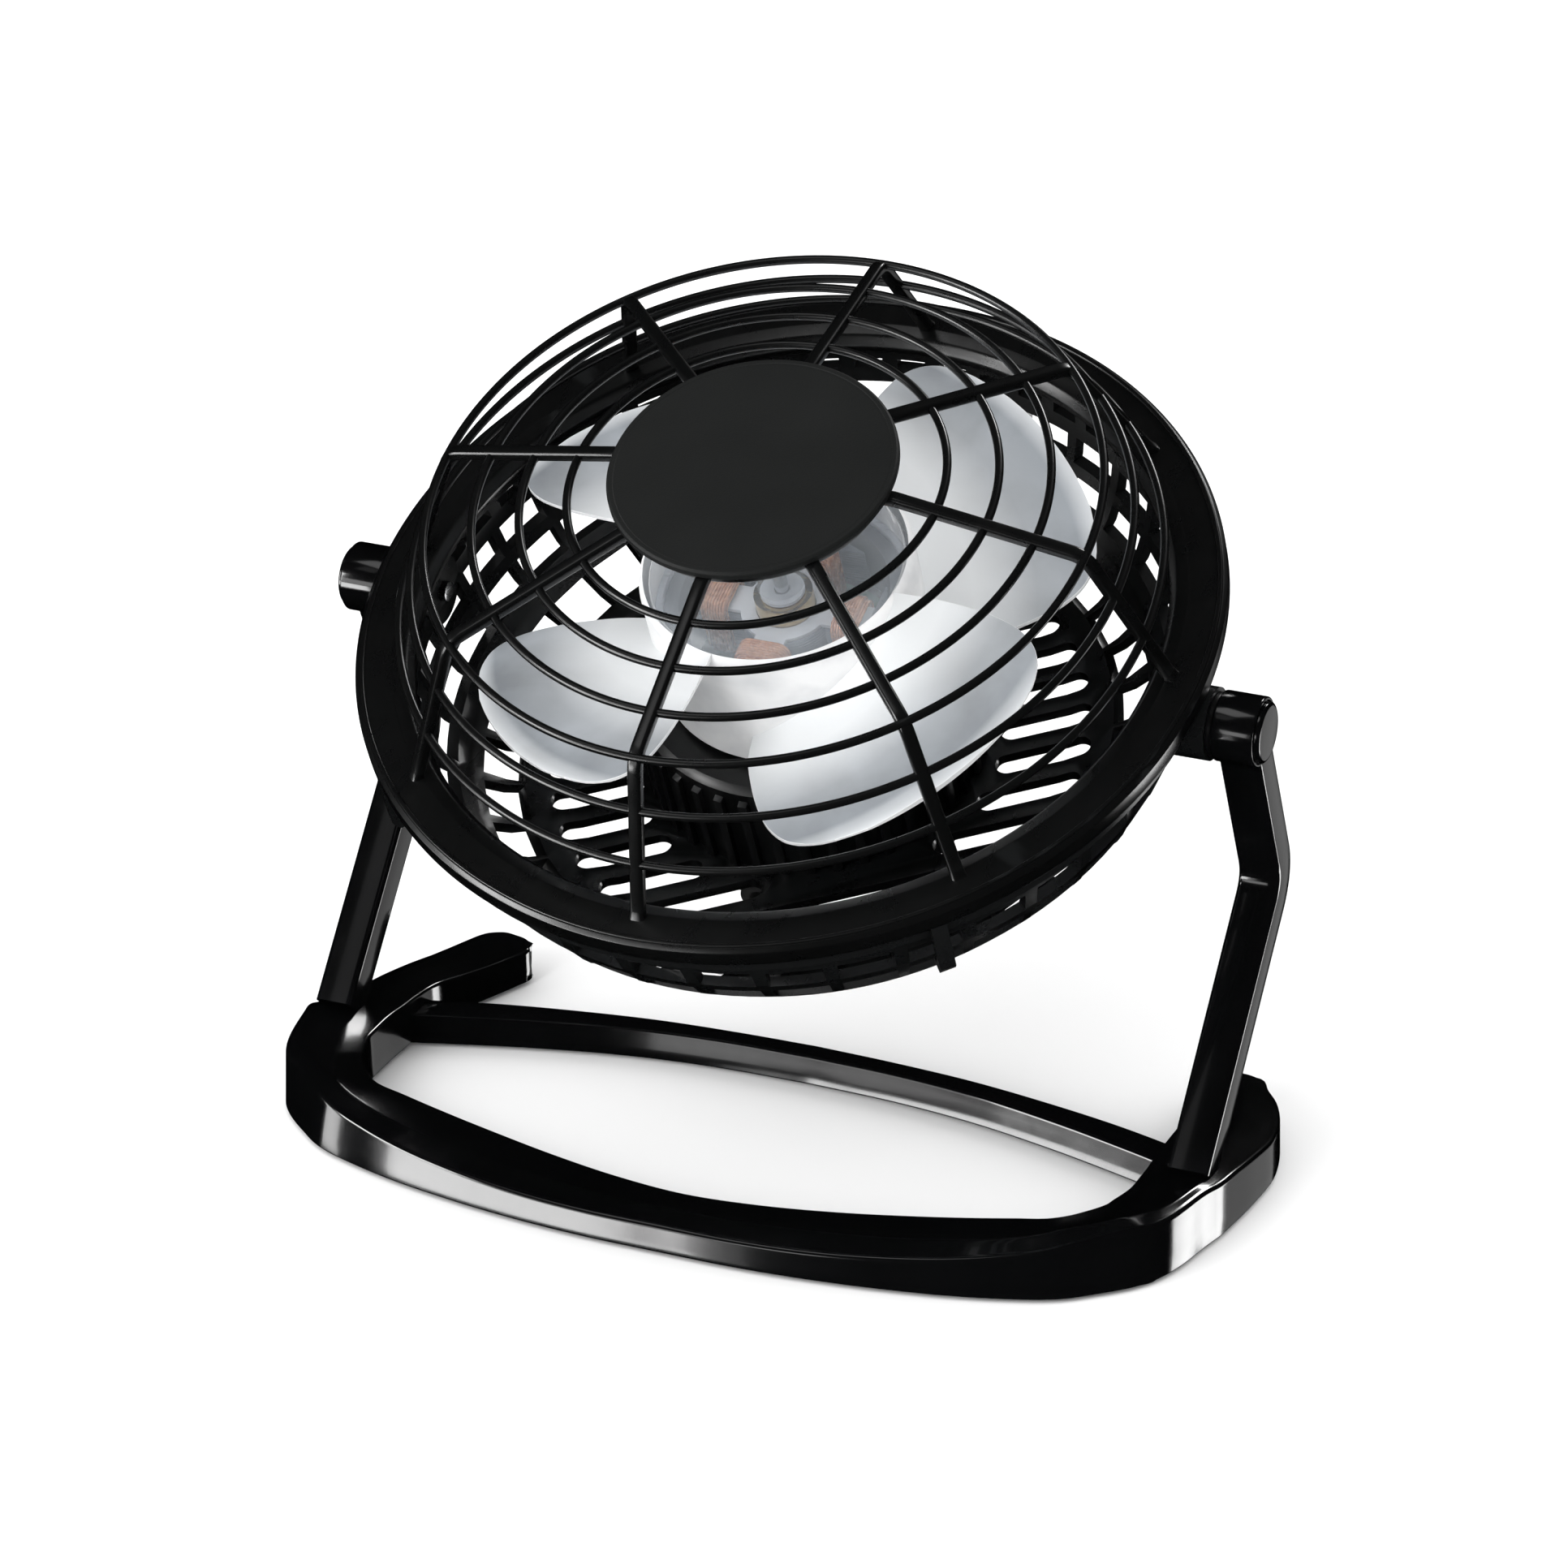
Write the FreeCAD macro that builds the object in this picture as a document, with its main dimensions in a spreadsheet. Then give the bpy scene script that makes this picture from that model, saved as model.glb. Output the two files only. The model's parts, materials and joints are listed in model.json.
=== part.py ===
import FreeCAD, Part
import Sketcher
import math
import os
from FreeCAD import Vector, Placement, Rotation

# Small desk fan: a tilting round head in a guard, carried between two arms
# that rise from a low open base.  Millimetres.  +Z is up and the front of
# the fan faces -Y.  The head pieces are drawn about their own axis (local Z
# points out of the front of the guard, local Z = 0 is the tilt axis) and are
# then placed at the tilt axis and leaned back.

doc = FreeCAD.newDocument("desk_fan")
sheet = doc.addObject("Spreadsheet::Sheet", "dims")

DIMS = [
    # stand
    ("pivot_height", 71.0), ("lean_back", 25.0), ("pivot_depth", 3.3),
    ("base_height", 9.6), ("bow_height", 4.0), ("rear_bar_height", 4.2),
    ("foot_end_height", 6.4), ("pad_radius", 3.4), ("pad_height", 1.2),
    ("arm_inner_face", 63.3), ("arm_width", 6.0), ("arm_half", 2.6),
    ("arm_foot_depth", -15.6), ("arm_foot_height", 10.25),
    ("kink_depth", 13.2), ("kink_height", 43.0),
    ("boss_radius", 5.0), ("boss_outer", 69.5),
    # guards
    ("flange_radius", 62.0), ("flange_front", 8.7), ("flange_inner", 53.6),
    ("lip_back", 5.7), ("wire_radius", 0.6), ("spoke_width", 2.0),
    ("spoke_half", 0.8), ("corner_radius", 47.6), ("corner_height", 30.5),
    ("spoke_top", 36.0), ("wall_foot", 57.3), ("cage_joint", 29.2), ("cap_radius", 20.4),
    ("cap_front", 38.3), ("cap_back", 36.95),
    ("ring_one", 26.5), ("ring_two", 33.5), ("ring_three", 40.5),
    ("rear_wall", 1.6), ("rear_back", -21.0), ("rear_eye", 20.5),
    ("vent_count", 54), ("window_count", 36), ("vent_width", 4.3),
    ("window_width", 7.9), ("slot_width", 3.5), ("slot_pitch", 6.1),
    ("slot_reach", 39.5), ("slot_angle", 30.0), ("basket_joint", -13.3),
    ("trunnion_radius", 5.2), ("trunnion_end", 62.5),
    # motor
    ("pod_radius", 24.0), ("pod_front", -3.0), ("pod_rib_count", 40),
    ("cover_radius", 24.4), ("cover_back", -28.0), ("screw_circle", 16.0),
    ("hub_radius", 19.5), ("hub_front", 21.0), ("hub_back", -1.4),
    ("blade_tip", 44.9), ("blade_middle", 12.3), ("blade_pitch", 0.195),
    ("blade_wall", 1.2), ("shaft_radius", 1.0), ("tube_outer", 4.2),
    ("tube_bore", 2.6), ("core_radius", 14.4), ("core_low", 3.0),
    ("core_high", 9.0), ("switch_travel", 3.0),
]
for i, (name, value) in enumerate(DIMS, start=1):
    sheet.set("A%d" % i, name)
    sheet.set("B%d" % i, str(value))
    sheet.setAlias("B%d" % i, name)
doc.recompute()
D = {name: float(sheet.get(name)) for name, value in DIMS}

NODES = []


def keep(obj, label):
    obj.Label = label
    NODES.append((obj, label))
    return obj


def place_head(obj):
    """Put a head piece on the tilt axis and lean it back."""
    obj.setExpression("Placement.Base.y", "dims.pivot_depth")
    obj.setExpression("Placement.Base.z", "dims.pivot_height")
    obj.Placement = Placement(Vector(0, D["pivot_depth"], D["pivot_height"]),
                              Rotation(Vector(1, 0, 0), D["lean_back"]))
    obj.setExpression("Placement.Rotation.Angle", "dims.lean_back")


def head_placement():
    return Placement(Vector(0, D["pivot_depth"], D["pivot_height"]),
                     Rotation(Vector(1, 0, 0), D["lean_back"]))


def val(e):
    """Value of a size given as a number or as an expression of the sheet."""
    if isinstance(e, (int, float)):
        return float(e)
    total = 0.0
    for sign, factors in terms(e):
        product = 1.0
        for how, tok in factors:
            v = val(tok[1:-1]) if tok[0] == "(" else (
                D[tok] if tok in D else float(tok))
            product = product * v if how == "*" else product / v
        total += sign * product
    return total


def words(e):
    """Names, numbers, signs and whole brackets of an expression."""
    out, word, depth = [], "", 0
    for ch in e:
        if depth:
            word += ch
            depth += (ch == "(") - (ch == ")")
        elif ch == "(":
            word, depth = "(", 1
        elif ch in "+-*/ ":
            if word:
                out.append(word)
            word = ""
            if ch != " ":
                out.append(ch)
        else:
            word += ch
    if word:
        out.append(word)
    return out


def terms(e):
    """Signed terms of an expression, each a list of (operation, factor)."""
    out, sign, how = [], 1.0, "*"
    fresh = True
    for tok in words(e):
        if tok in ("+", "-"):
            sign, fresh = (1.0 if tok == "+" else -1.0), True
        elif tok in ("*", "/"):
            how = tok
        elif fresh:
            out.append((sign, [("*", tok)]))
            fresh, how = False, "*"
        else:
            out[-1][1].append((how, tok))
    return out


def expr(e):
    parts = []
    for tok in words(e):
        if tok[0] == "(":
            parts.append("(" + expr(tok[1:-1]) + ")")
        else:
            parts.append("dims." + tok if tok in D else tok)
    return " ".join(parts)


def plane(body, role):
    return [f for f in body.Origin.OriginFeatures if f.Role == role][0]


def sketch_on(body, name, role, offset=None):
    sk = body.newObject("Sketcher::SketchObject", name)
    sk.AttachmentSupport = [(plane(body, role), "")]
    sk.MapMode = "FlatFace"
    if offset is not None:
        sk.AttachmentOffset = offset
    return sk


def polygon(sk, pts):
    """Closed outline; each corner's place is held by two dimensions, and a
    corner given as words follows the sheet."""
    n = len(pts)
    xy = [(val(a), val(b)) for a, b in pts]
    first = sk.GeometryCount
    for i in range(n):
        a, b = xy[i], xy[(i + 1) % n]
        sk.addGeometry(Part.LineSegment(Vector(a[0], a[1], 0),
                                        Vector(b[0], b[1], 0)), False)
    for i in range(n):
        sk.addConstraint(Sketcher.Constraint("Coincident", first + i, 2,
                                             first + (i + 1) % n, 1))
    for i in range(n):
        for kind, k in (("DistanceX", 0), ("DistanceY", 1)):
            v = xy[i][k]
            if abs(v) < 1e-9:
                sk.addConstraint(Sketcher.Constraint(
                    "PointOnObject", first + i, 1, -2 if k == 0 else -1))
                continue
            c = sk.addConstraint(Sketcher.Constraint(
                kind, -1, 1, first + i, 1, v))
            if isinstance(pts[i][k], str):
                sk.setExpression("Constraints[%d]" % c, expr(pts[i][k]))


def circle(sk, x, y, radius):
    g = sk.addGeometry(Part.Circle(Vector(val(x), val(y), 0),
                                   Vector(0, 0, 1), val(radius)), False)
    for kind, e, other in (("DistanceX", x, -2), ("DistanceY", y, -1)):
        if abs(val(e)) < 1e-9:
            sk.addConstraint(Sketcher.Constraint("PointOnObject", g, 3, other))
            continue
        c = sk.addConstraint(Sketcher.Constraint(kind, -1, 1, g, 3, val(e)))
        if isinstance(e, str):
            sk.setExpression("Constraints[%d]" % c, expr(e))
    c = sk.addConstraint(Sketcher.Constraint("Radius", g, val(radius)))
    if isinstance(radius, str):
        sk.setExpression("Constraints[%d]" % c, expr(radius))


def revolve(body, name, sk):
    rev = body.newObject("PartDesign::Revolution", name)
    rev.Profile = sk
    rev.ReferenceAxis = (sk, ["V_Axis"])
    rev.Angle = 360.0
    body.Tip = rev
    return rev


def turned(label, pts, head=True):
    """A body of revolution about local Z from an (r, z) outline."""
    body = doc.addObject("PartDesign::Body", label)
    sk = sketch_on(body, label + "_profile", "XZ_Plane")
    polygon(sk, pts)
    revolve(body, label + "_turn", sk)
    if head:
        place_head(body)
    keep(body, label)
    return body


def pad(body, name, sk, length, both=False, reverse=False):
    p = body.newObject("PartDesign::Pad", name)
    p.Profile = sk
    p.Length = val(length)
    if isinstance(length, str):
        p.setExpression("Length", expr(length))
    p.Midplane = both
    p.Reversed = reverse
    body.Tip = p
    return p


def pocket(body, name, sk, length, both=False, reverse=False):
    p = body.newObject("PartDesign::Pocket", name)
    p.Profile = sk
    p.Length = val(length)
    if isinstance(length, str):
        p.setExpression("Length", expr(length))
    p.Midplane = both
    p.Reversed = reverse
    body.Tip = p
    return p


def polar(body, name, feature, count):
    p = body.newObject("PartDesign::PolarPattern", name)
    p.Originals = [feature]
    p.Axis = (plane(body, "Z_Axis"), [""])
    p.Angle = 360.0
    p.Occurrences = int(val(count))
    if isinstance(count, str):
        p.setExpression("Occurrences", expr(count))
    body.Tip = p
    return p


def feature(label, shape, placement=None):
    f = doc.addObject("Part::Feature", label)
    f.Shape = shape
    if placement is not None:
        f.Placement = placement
    keep(f, label)
    return f


def spline(points, tangents=None):
    c = Part.BSplineCurve()
    c.interpolate(points)
    return c.toShape()


# ------------------------------------------------------------------ the stand
PD = D["pivot_depth"]

# outline of the base in plan, right half, depths measured from the tilt axis
OUT = [(0, -51.4), (12, -51.3), (23.4, -50.5), (34.8, -48.8), (45.9, -46.1),
       (56.3, -42.0), (62.2, -37.8), (66.2, -33.2), (68.6, -28.2),
       (71.0, -17.3), (72.2, -5.0), (72.4, 3.0), (71.6, 9.0), (69.6, 14.5),
       (66.8, 18.6)]
FOOT = [(66.8, 18.6), (62.5, 22.0), (57.0, 23.2), (52.4, 20.6)]
INNER_FOOT = [(52.4, 20.6), (54.6, 10.5), (58.4, -0.6)]
REAR = [(58.4, -0.6), (49.2, 1.9), (38.4, 4.3), (25.0, 6.5), (0, 7.9)]
HOLE_FRONT = [(59.4, -15.0), (57.2, -24.0), (52.0, -31.2), (43.0, -35.8),
              (31.0, -38.2), (18.0, -39.6), (0, -40.3)]
HOLE_REAR = [(59.4, -15.0), (58.4, -8.0), (52.0, -5.6), (40.9, -2.2),
             (27.2, 0.9), (13.9, 2.6), (0, 3.1)]


def both_sides(pts):
    """Right half from the outside in to x = 0, carried on to the left."""
    return pts + [(-x, y) for x, y in reversed(pts[:-1])]


def v3(pts, z=0.0):
    return [Vector(x, y + PD, z) for x, y in pts]


front_edge = spline(v3([(-x, y) for x, y in reversed(OUT)][:-1] + OUT))
foot_r = spline(v3(FOOT))
foot_l = spline(v3([(-x, y) for x, y in FOOT]))
inner_r = spline(v3(INNER_FOOT))
inner_l = spline(v3([(-x, y) for x, y in INNER_FOOT]))
rear_edge = spline(v3(both_sides(REAR)))
outer_wire = Part.Wire(Part.__sortEdges__([front_edge, foot_r, inner_r,
                                           rear_edge, inner_l, foot_l]))
hole_wire = Part.Wire(Part.__sortEdges__([
    spline(v3(both_sides(HOLE_FRONT))), spline(v3(both_sides(HOLE_REAR)))]))
loop = Part.Face(outer_wire).extrude(Vector(0, 0, D["base_height"]))
loop = loop.cut(Part.Face(hole_wire).extrude(Vector(0, 0, 40)).translated(
    Vector(0, 0, -10)))


def top_cut_front():
    """Everything above the front bow, whose top dips towards the middle."""
    lo, hi = D["bow_height"], D["base_height"]
    pts = [Vector(x, -70, lo + (hi - 1.8 - lo) * abs(x / 57.0) ** 3)
           for x in (-57, -49, -40, -30, -20, -10, 0, 10, 20, 30, 40, 49, 57)]
    rim = [pts[-1], Vector(60, -70, hi), Vector(60, -70, 30),
           Vector(-60, -70, 30), Vector(-60, -70, hi), pts[0]]
    w = Part.Wire([spline(pts)] + [Part.makeLine(p, q)
                                   for p, q in zip(rim, rim[1:])])
    return Part.Face(w).extrude(Vector(0, 70 - 18.0 + PD, 0))


rear_cut = Part.makeBox(115.0, 60, 30, Vector(-57.5, -12.0 + PD,
                                              D["rear_bar_height"]))
slope = Part.Face(Part.makePolygon([
    Vector(-90, -12 + PD, D["base_height"]), Vector(-90, -12 + PD, 30),
    Vector(-90, 40, 30), Vector(-90, 40, D["foot_end_height"] - 1.5),
    Vector(-90, 23 + PD, D["foot_end_height"]),
    Vector(-90, -12 + PD, D["base_height"])])).extrude(Vector(180, 0, 0))
rear_keep = Part.Face(Part.makePolygon([
    Vector(57.5, -12.1 + PD, -1), Vector(50, 8.5 + PD, -1),
    Vector(50, 30, -1), Vector(90, 30, -1), Vector(90, -12.1 + PD, -1),
    Vector(57.5, -12.1 + PD, -1)])).extrude(Vector(0, 0, 40))
rear_keep = rear_keep.fuse(rear_keep.mirror(Vector(0, 0, 0),
                                            Vector(1, 0, 0)))
loop = loop.cut(top_cut_front())
loop = loop.cut(rear_cut.cut(rear_keep)).cut(slope)

# the outer flank of each foot falls away to the outside and to the back
for sx in (1, -1):
    crest = [Vector(sx * 63.0, -4.0 + PD, D["base_height"]),
             Vector(sx * 57.5, 22.0 + PD, D["foot_end_height"]),
             Vector(sx * 72.2, 6.5 + PD, 4.4)]
    up = (crest[1] - crest[0]).cross(crest[2] - crest[0])
    up = up if up.z > 0 else up * -1.0
    above = Part.makeBox(160, 160, 40, Vector(-80, -80, 0))
    above.Placement = Placement(crest[0], Rotation(Vector(0, 0, 1), up))
    side = Part.makeBox(40, 70, 40, Vector(57.0 if sx > 0 else -97.0,
                                           -16.5 + PD, 0))
    arm_seat = Part.makeBox(9.0, 9.0, 40, Vector(
        63.0 if sx > 0 else -72.0, D["arm_foot_depth"] + PD - 4.5, 0))
    loop = loop.cut(above.common(side).cut(arm_seat))

# where each arm plugs in, and the screw that holds it from below
ARM_X = D["arm_inner_face"] + D["arm_width"] / 2.0
AFY = D["arm_foot_depth"] + PD
PADS = [(63.5, -30.0 + PD), (-63.5, -30.0 + PD), (62.4, 13.0 + PD),
        (-62.4, 13.0 + PD)]
for sx in (1, -1):
    loop = loop.cut(Part.makeBox(3.8, 6.0, 6.0, Vector(
        sx * ARM_X - 1.9, AFY - 3.0, 4.4)))
    loop = loop.cut(Part.makeCylinder(1.4, 20, Vector(sx * ARM_X, AFY, -5)))
    loop = loop.cut(Part.makeCylinder(2.7, 7.0, Vector(sx * ARM_X, AFY, -5)))
for px, py in PADS:
    loop = loop.cut(Part.makeCylinder(D["pad_radius"] + 0.1, 5.6,
                                      Vector(px, py, -5)))
base = feature("base_loop", loop.removeSplitter())
base.Placement = Placement(Vector(0, 0, D["pad_height"] - 0.6), Rotation())
BZ = D["pad_height"] - 0.6

# four rubber pads let into the underside
pads = []
for i, (px, py) in enumerate(PADS):
    c = doc.addObject("Part::Cylinder", "pad_%d" % i)
    c.setExpression("Radius", "dims.pad_radius")
    c.setExpression("Height", "dims.pad_height - 0.02")
    c.Placement = Placement(Vector(px, py, 0), Rotation())
    pads.append(c)
doc.recompute()
pad_group = doc.addObject("Part::Compound", "foot_pads")
pad_group.Links = pads
keep(pad_group, "foot_pads")

# arms: flat bars that lean back, then turn forward to the tilt axis


def arm(label, sx):
    body = doc.addObject("PartDesign::Body", label)
    x0 = "arm_inner_face" if sx > 0 else "- arm_inner_face - arm_width"
    sk = sketch_on(body, label + "_side", "YZ_Plane",
                   Placement(Vector(0, 0, val(x0)), Rotation()))
    sk.setExpression("AttachmentOffset.Base.z", expr(x0))
    foot, fz = "arm_foot_depth + pivot_depth", "arm_foot_height"
    kink, kz = "kink_depth + pivot_depth", "kink_height"
    polygon(sk, [(foot + " - 3.5", fz), (foot + " + 3.5", fz),
                 (kink + " + 1.6", kz + " - 2.4"),
                 (kink + " + 2.9", kz + " + 0.2"),
                 (kink + " + 2.4", kz + " + 2.6"),
                 ("pivot_depth + 2.9", "pivot_height"),
                 ("pivot_depth - 2.9", "pivot_height"),
                 (kink + " - 2.9", kz + " + 0.6")])
    p = pad(body, label + "_bar", sk, "arm_width")
    # boss at the tilt axis
    bx = "arm_inner_face" if sx > 0 else "- boss_outer"
    sk2 = sketch_on(body, label + "_boss_round", "YZ_Plane",
                    Placement(Vector(0, 0, val(bx)), Rotation()))
    sk2.setExpression("AttachmentOffset.Base.z", expr(bx))
    circle(sk2, "pivot_depth", "pivot_height", "boss_radius")
    pad(body, label + "_boss", sk2, "boss_outer - arm_inner_face")
    # screw hole and the recess that takes the screw head and cap
    sk3 = sketch_on(body, label + "_hole_round", "YZ_Plane",
                    Placement(Vector(0, 0, sx * 60.0), Rotation()))
    circle(sk3, "pivot_depth", "pivot_height", 1.75)
    pocket(body, label + "_hole", sk3, 20.0, reverse=(sx > 0))
    rx = "boss_outer - 3.6" if sx > 0 else "3.6 - boss_outer"
    sk4 = sketch_on(body, label + "_recess_round", "YZ_Plane",
                    Placement(Vector(0, 0, val(rx)), Rotation()))
    sk4.setExpression("AttachmentOffset.Base.z", expr(rx))
    circle(sk4, "pivot_depth", "pivot_height", 3.6)
    pocket(body, label + "_recess", sk4, 12.0, reverse=(sx > 0))
    # tenon that goes into the base
    tx = "arm_inner_face + 1.2" if sx > 0 else "- arm_inner_face - 4.8"
    sk5 = sketch_on(body, label + "_tenon_side", "YZ_Plane",
                    Placement(Vector(0, 0, val(tx)), Rotation()))
    sk5.setExpression("AttachmentOffset.Base.z", expr(tx))
    polygon(sk5, [(foot + " - 2.9", "arm_foot_height + 1.5"),
                  (foot + " - 2.9", "arm_foot_height - 4.1"),
                  (foot + " + 2.9", "arm_foot_height - 4.1"),
                  (foot + " + 2.9", "arm_foot_height + 1.5")])
    pad(body, label + "_tenon", sk5, 3.6)
    sk6 = sketch_on(body, label + "_pilot_round", "XY_Plane",
                    Placement(Vector(0, 0, 4.0), Rotation()))
    circle(sk6, sx * ARM_X, foot, 1.05)
    pocket(body, label + "_pilot", sk6, 7.0, reverse=True)
    keep(body, label)
    return body


arm("arm_right", 1)
arm("arm_left", -1)


def screw(head_r, head_h, shank_r, length, slot=True):
    """Pan-head screw along +Z, head top at z = 0, tip at z = -length."""
    s = Part.makeCylinder(head_r, head_h, Vector(0, 0, -head_h))
    s = s.fuse(Part.makeCylinder(shank_r, length - head_h,
                                 Vector(0, 0, -length)))
    s = s.removeSplitter()
    if slot:
        s = s.cut(Part.makeBox(2.4 * head_r * 0.6, 0.5, head_h * 0.6, Vector(
            -1.2 * head_r * 0.6, -0.25, -head_h * 0.6)))
        s = s.cut(Part.makeBox(0.5, 2.4 * head_r * 0.6, head_h * 0.6, Vector(
            -0.25, -1.2 * head_r * 0.6, -head_h * 0.6)))
    return s


# screws that hold the arms, from below
one = screw(2.5, 1.4, 1.0, 7.6)
grp = []
for sx in (1, -1):
    grp.append(one.transformGeometry(Placement(
        Vector(sx * ARM_X, AFY, BZ + 0.6),
        Rotation(Vector(1, 0, 0), 180)).toMatrix()))
feature("arm_screws", Part.makeCompound(grp))

# pivot screws, their friction washers and the caps over them
BO = D["boss_outer"]
piv, wash, caps = [], [], []
for sx in (1, -1):
    turn = Rotation(Vector(0, 0, 1), Vector(sx, 0, 0))
    at = Vector(sx * (BO - 1.6), PD, D["pivot_height"])
    piv.append(screw(3.1, 1.9, 1.5, 13.5).transformGeometry(
        Placement(at, turn).toMatrix()))
    w = Part.makeCylinder(4.6, 0.7).cut(Part.makeCylinder(1.75, 0.7))
    wash.append(w.transformGeometry(Placement(Vector(
        sx * (D["trunnion_end"] + 0.05), PD, D["pivot_height"]),
        turn).toMatrix()))
    c = Part.makeCylinder(4.4, 0.9)
    c = c.makeFillet(0.5, [e for e in c.Edges if e.Closed
                           and e.CenterOfMass.z > 0.5])
    c = c.fuse(Part.makeCylinder(3.4, 1.3, Vector(0, 0, -1.3)))
    caps.append(c.removeSplitter().transformGeometry(Placement(Vector(
        sx * (BO + 0.02), PD, D["pivot_height"]), turn).toMatrix()))
feature("pivot_screws", Part.makeCompound(piv))
feature("pivot_washers", Part.makeCompound(wash))
feature("pivot_caps", Part.makeCompound(caps))

# --------------------------------------------------------------- front guard
def leg_out(h):
    """Outer side of a spoke's leg at height h."""
    return ("corner_radius + spoke_half + (wall_foot + 0.6 - corner_radius"
            " - spoke_half) * (corner_height + 0.2 - (%s))"
            " / (corner_height + 0.8 - flange_front)" % h)


def leg_in(h):
    """Inner side of a spoke's leg at height h."""
    return ("corner_radius - spoke_half + (wall_foot - 1.2 - corner_radius"
            " + spoke_half) * (corner_height - spoke_half - (%s))"
            " / (corner_height - spoke_half - flange_front + 0.6)" % h)


# broad rim with the snap tabs that hook over the rear guard
rim = doc.addObject("PartDesign::Body", "guard_rim")
sk = sketch_on(rim, "flange_profile", "XZ_Plane")
polygon(sk, [("flange_inner", "flange_front - 2.6"),
             ("flange_inner + 0.4", "flange_front - 1.4"),
             ("flange_inner + 1.6", "flange_front - 0.4"),
             ("flange_inner + 3.4", "flange_front"),
             ("flange_radius - 0.8", "flange_front"),
             ("flange_radius", "flange_front - 0.8"),
             ("flange_radius", "lip_back"),
             ("flange_radius - 1.1", "lip_back"),
             ("flange_radius - 1.1", "flange_front - 1.5"),
             ("flange_inner + 3.4", "flange_front - 1.5"),
             ("flange_inner + 2.0", "flange_front - 1.9"),
             ("flange_inner + 1.2", "flange_front - 3.0")])
revolve(rim, "flange", sk)
sk = sketch_on(rim, "tab_side", "XZ_Plane",
               Placement(Vector(), Rotation(Vector(0, 1, 0), -50.0)))
polygon(sk, [("flange_radius - 1.3", "lip_back + 0.6"),
             ("flange_radius - 0.1", "lip_back + 0.6"),
             ("flange_radius - 0.1", -3.0), ("flange_radius - 1.2", -4.6),
             ("flange_radius - 2.9", -4.0), ("flange_radius - 2.9", -3.0),
             ("flange_radius - 1.3", -2.6)])
tab = pad(rim, "tab", sk, 2.6, both=True)
polar(rim, "tabs", tab, 4)
place_head(rim)
keep(rim, "guard_rim")

# side of the cage: the legs of the eight spokes and two hoops
wall = doc.addObject("PartDesign::Body", "guard_wall")
sk = sketch_on(wall, "leg_side", "XZ_Plane")
polygon(sk, [(leg_out("flange_front"), "flange_front"),
             (leg_out("cage_joint"), "cage_joint"),
             (leg_in("cage_joint"), "cage_joint"),
             (leg_in("flange_front"), "flange_front")])
sp = pad(wall, "leg", sk, "spoke_width", both=True)
polar(wall, "legs", sp, 8)
sk = sketch_on(wall, "hoop_profile", "XZ_Plane")
for rr, rz in ((50.9, 23.3), (54.1, 16.0)):
    circle(sk, rr, rz, "wire_radius")
revolve(wall, "hoops", sk)
place_head(wall)
keep(wall, "guard_wall")

# domed front of the cage: spokes, four rings and the badge carrier
dome = doc.addObject("PartDesign::Body", "guard_dome")
sk = sketch_on(dome, "spoke_side", "XZ_Plane")
polygon(sk, [(14.0, "spoke_top - 0.9"), (14.0, "spoke_top + 0.7"),
             (20.6, "spoke_top + 0.7"),
             ("corner_radius + 0.2", "corner_height + spoke_half"),
             ("corner_radius + spoke_half", "corner_height + 0.2"),
             (leg_out("cage_joint"), "cage_joint"),
             (leg_in("cage_joint"), "cage_joint"),
             ("corner_radius - spoke_half", "corner_height - spoke_half"),
             (20.6, "spoke_top - 0.9")])
sp = pad(dome, "spoke", sk, "spoke_width", both=True)
polar(dome, "spokes", sp, 8)
sk = sketch_on(dome, "carrier_profile", "XZ_Plane")
polygon(sk, [(0, "spoke_top - 0.9"), (19.2, "spoke_top - 0.9"),
             (19.2, "spoke_top + 0.7"), (2.6, "spoke_top + 0.7"),
             (2.6, "spoke_top - 0.1"), (0, "spoke_top - 0.1")])
revolve(dome, "carrier", sk)
sk = sketch_on(dome, "ring_profile", "XZ_Plane")
RINGS = [("ring_one", 34.77), ("ring_two", 33.36), ("ring_three", 31.94),
         ("corner_radius", "corner_height")]
for rr, rz in RINGS:
    circle(sk, rr, rz, "wire_radius")
revolve(dome, "rings", sk)
place_head(dome)
keep(dome, "guard_dome")

# badge disc that snaps on to the carrier
turned("front_cap", [(0, "spoke_top + 0.2"), (2.4, "spoke_top + 0.2"),
                     (2.4, "cap_back"), ("cap_radius - 0.3", "cap_back"),
                     ("cap_radius", "cap_back + 0.3"),
                     ("cap_radius", "cap_front - 0.35"),
                     ("cap_radius - 0.35", "cap_front"), (0, "cap_front")])

# ---------------------------------------------------------------- rear guard
JOIN_OUT = "50.2 + 3.4 * (basket_joint - rear_back - 5.6) / 4.2"
JOIN_IN = "49.2 + 3.1 * (basket_joint - rear_back - 6.9) / 3.9"
rw = doc.addObject("PartDesign::Body", "basket_wall")
sk = sketch_on(rw, "wall_profile", "XZ_Plane")
polygon(sk, [(JOIN_OUT, "basket_joint"), (53.6, "rear_back + 9.8"),
             (56.0, "rear_back + 15.0"), (57.4, -0.6), (58.0, 2.6),
             (60.6, 3.0), (60.6, 6.9), (59.2, 6.9), (59.0, 4.3),
             (56.6, 3.8), (55.8, -0.6), (54.5, "rear_back + 15.6"),
             (52.3, "rear_back + 10.8"), (JOIN_IN, "basket_joint")])
revolve(rw, "wall", sk)
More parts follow.
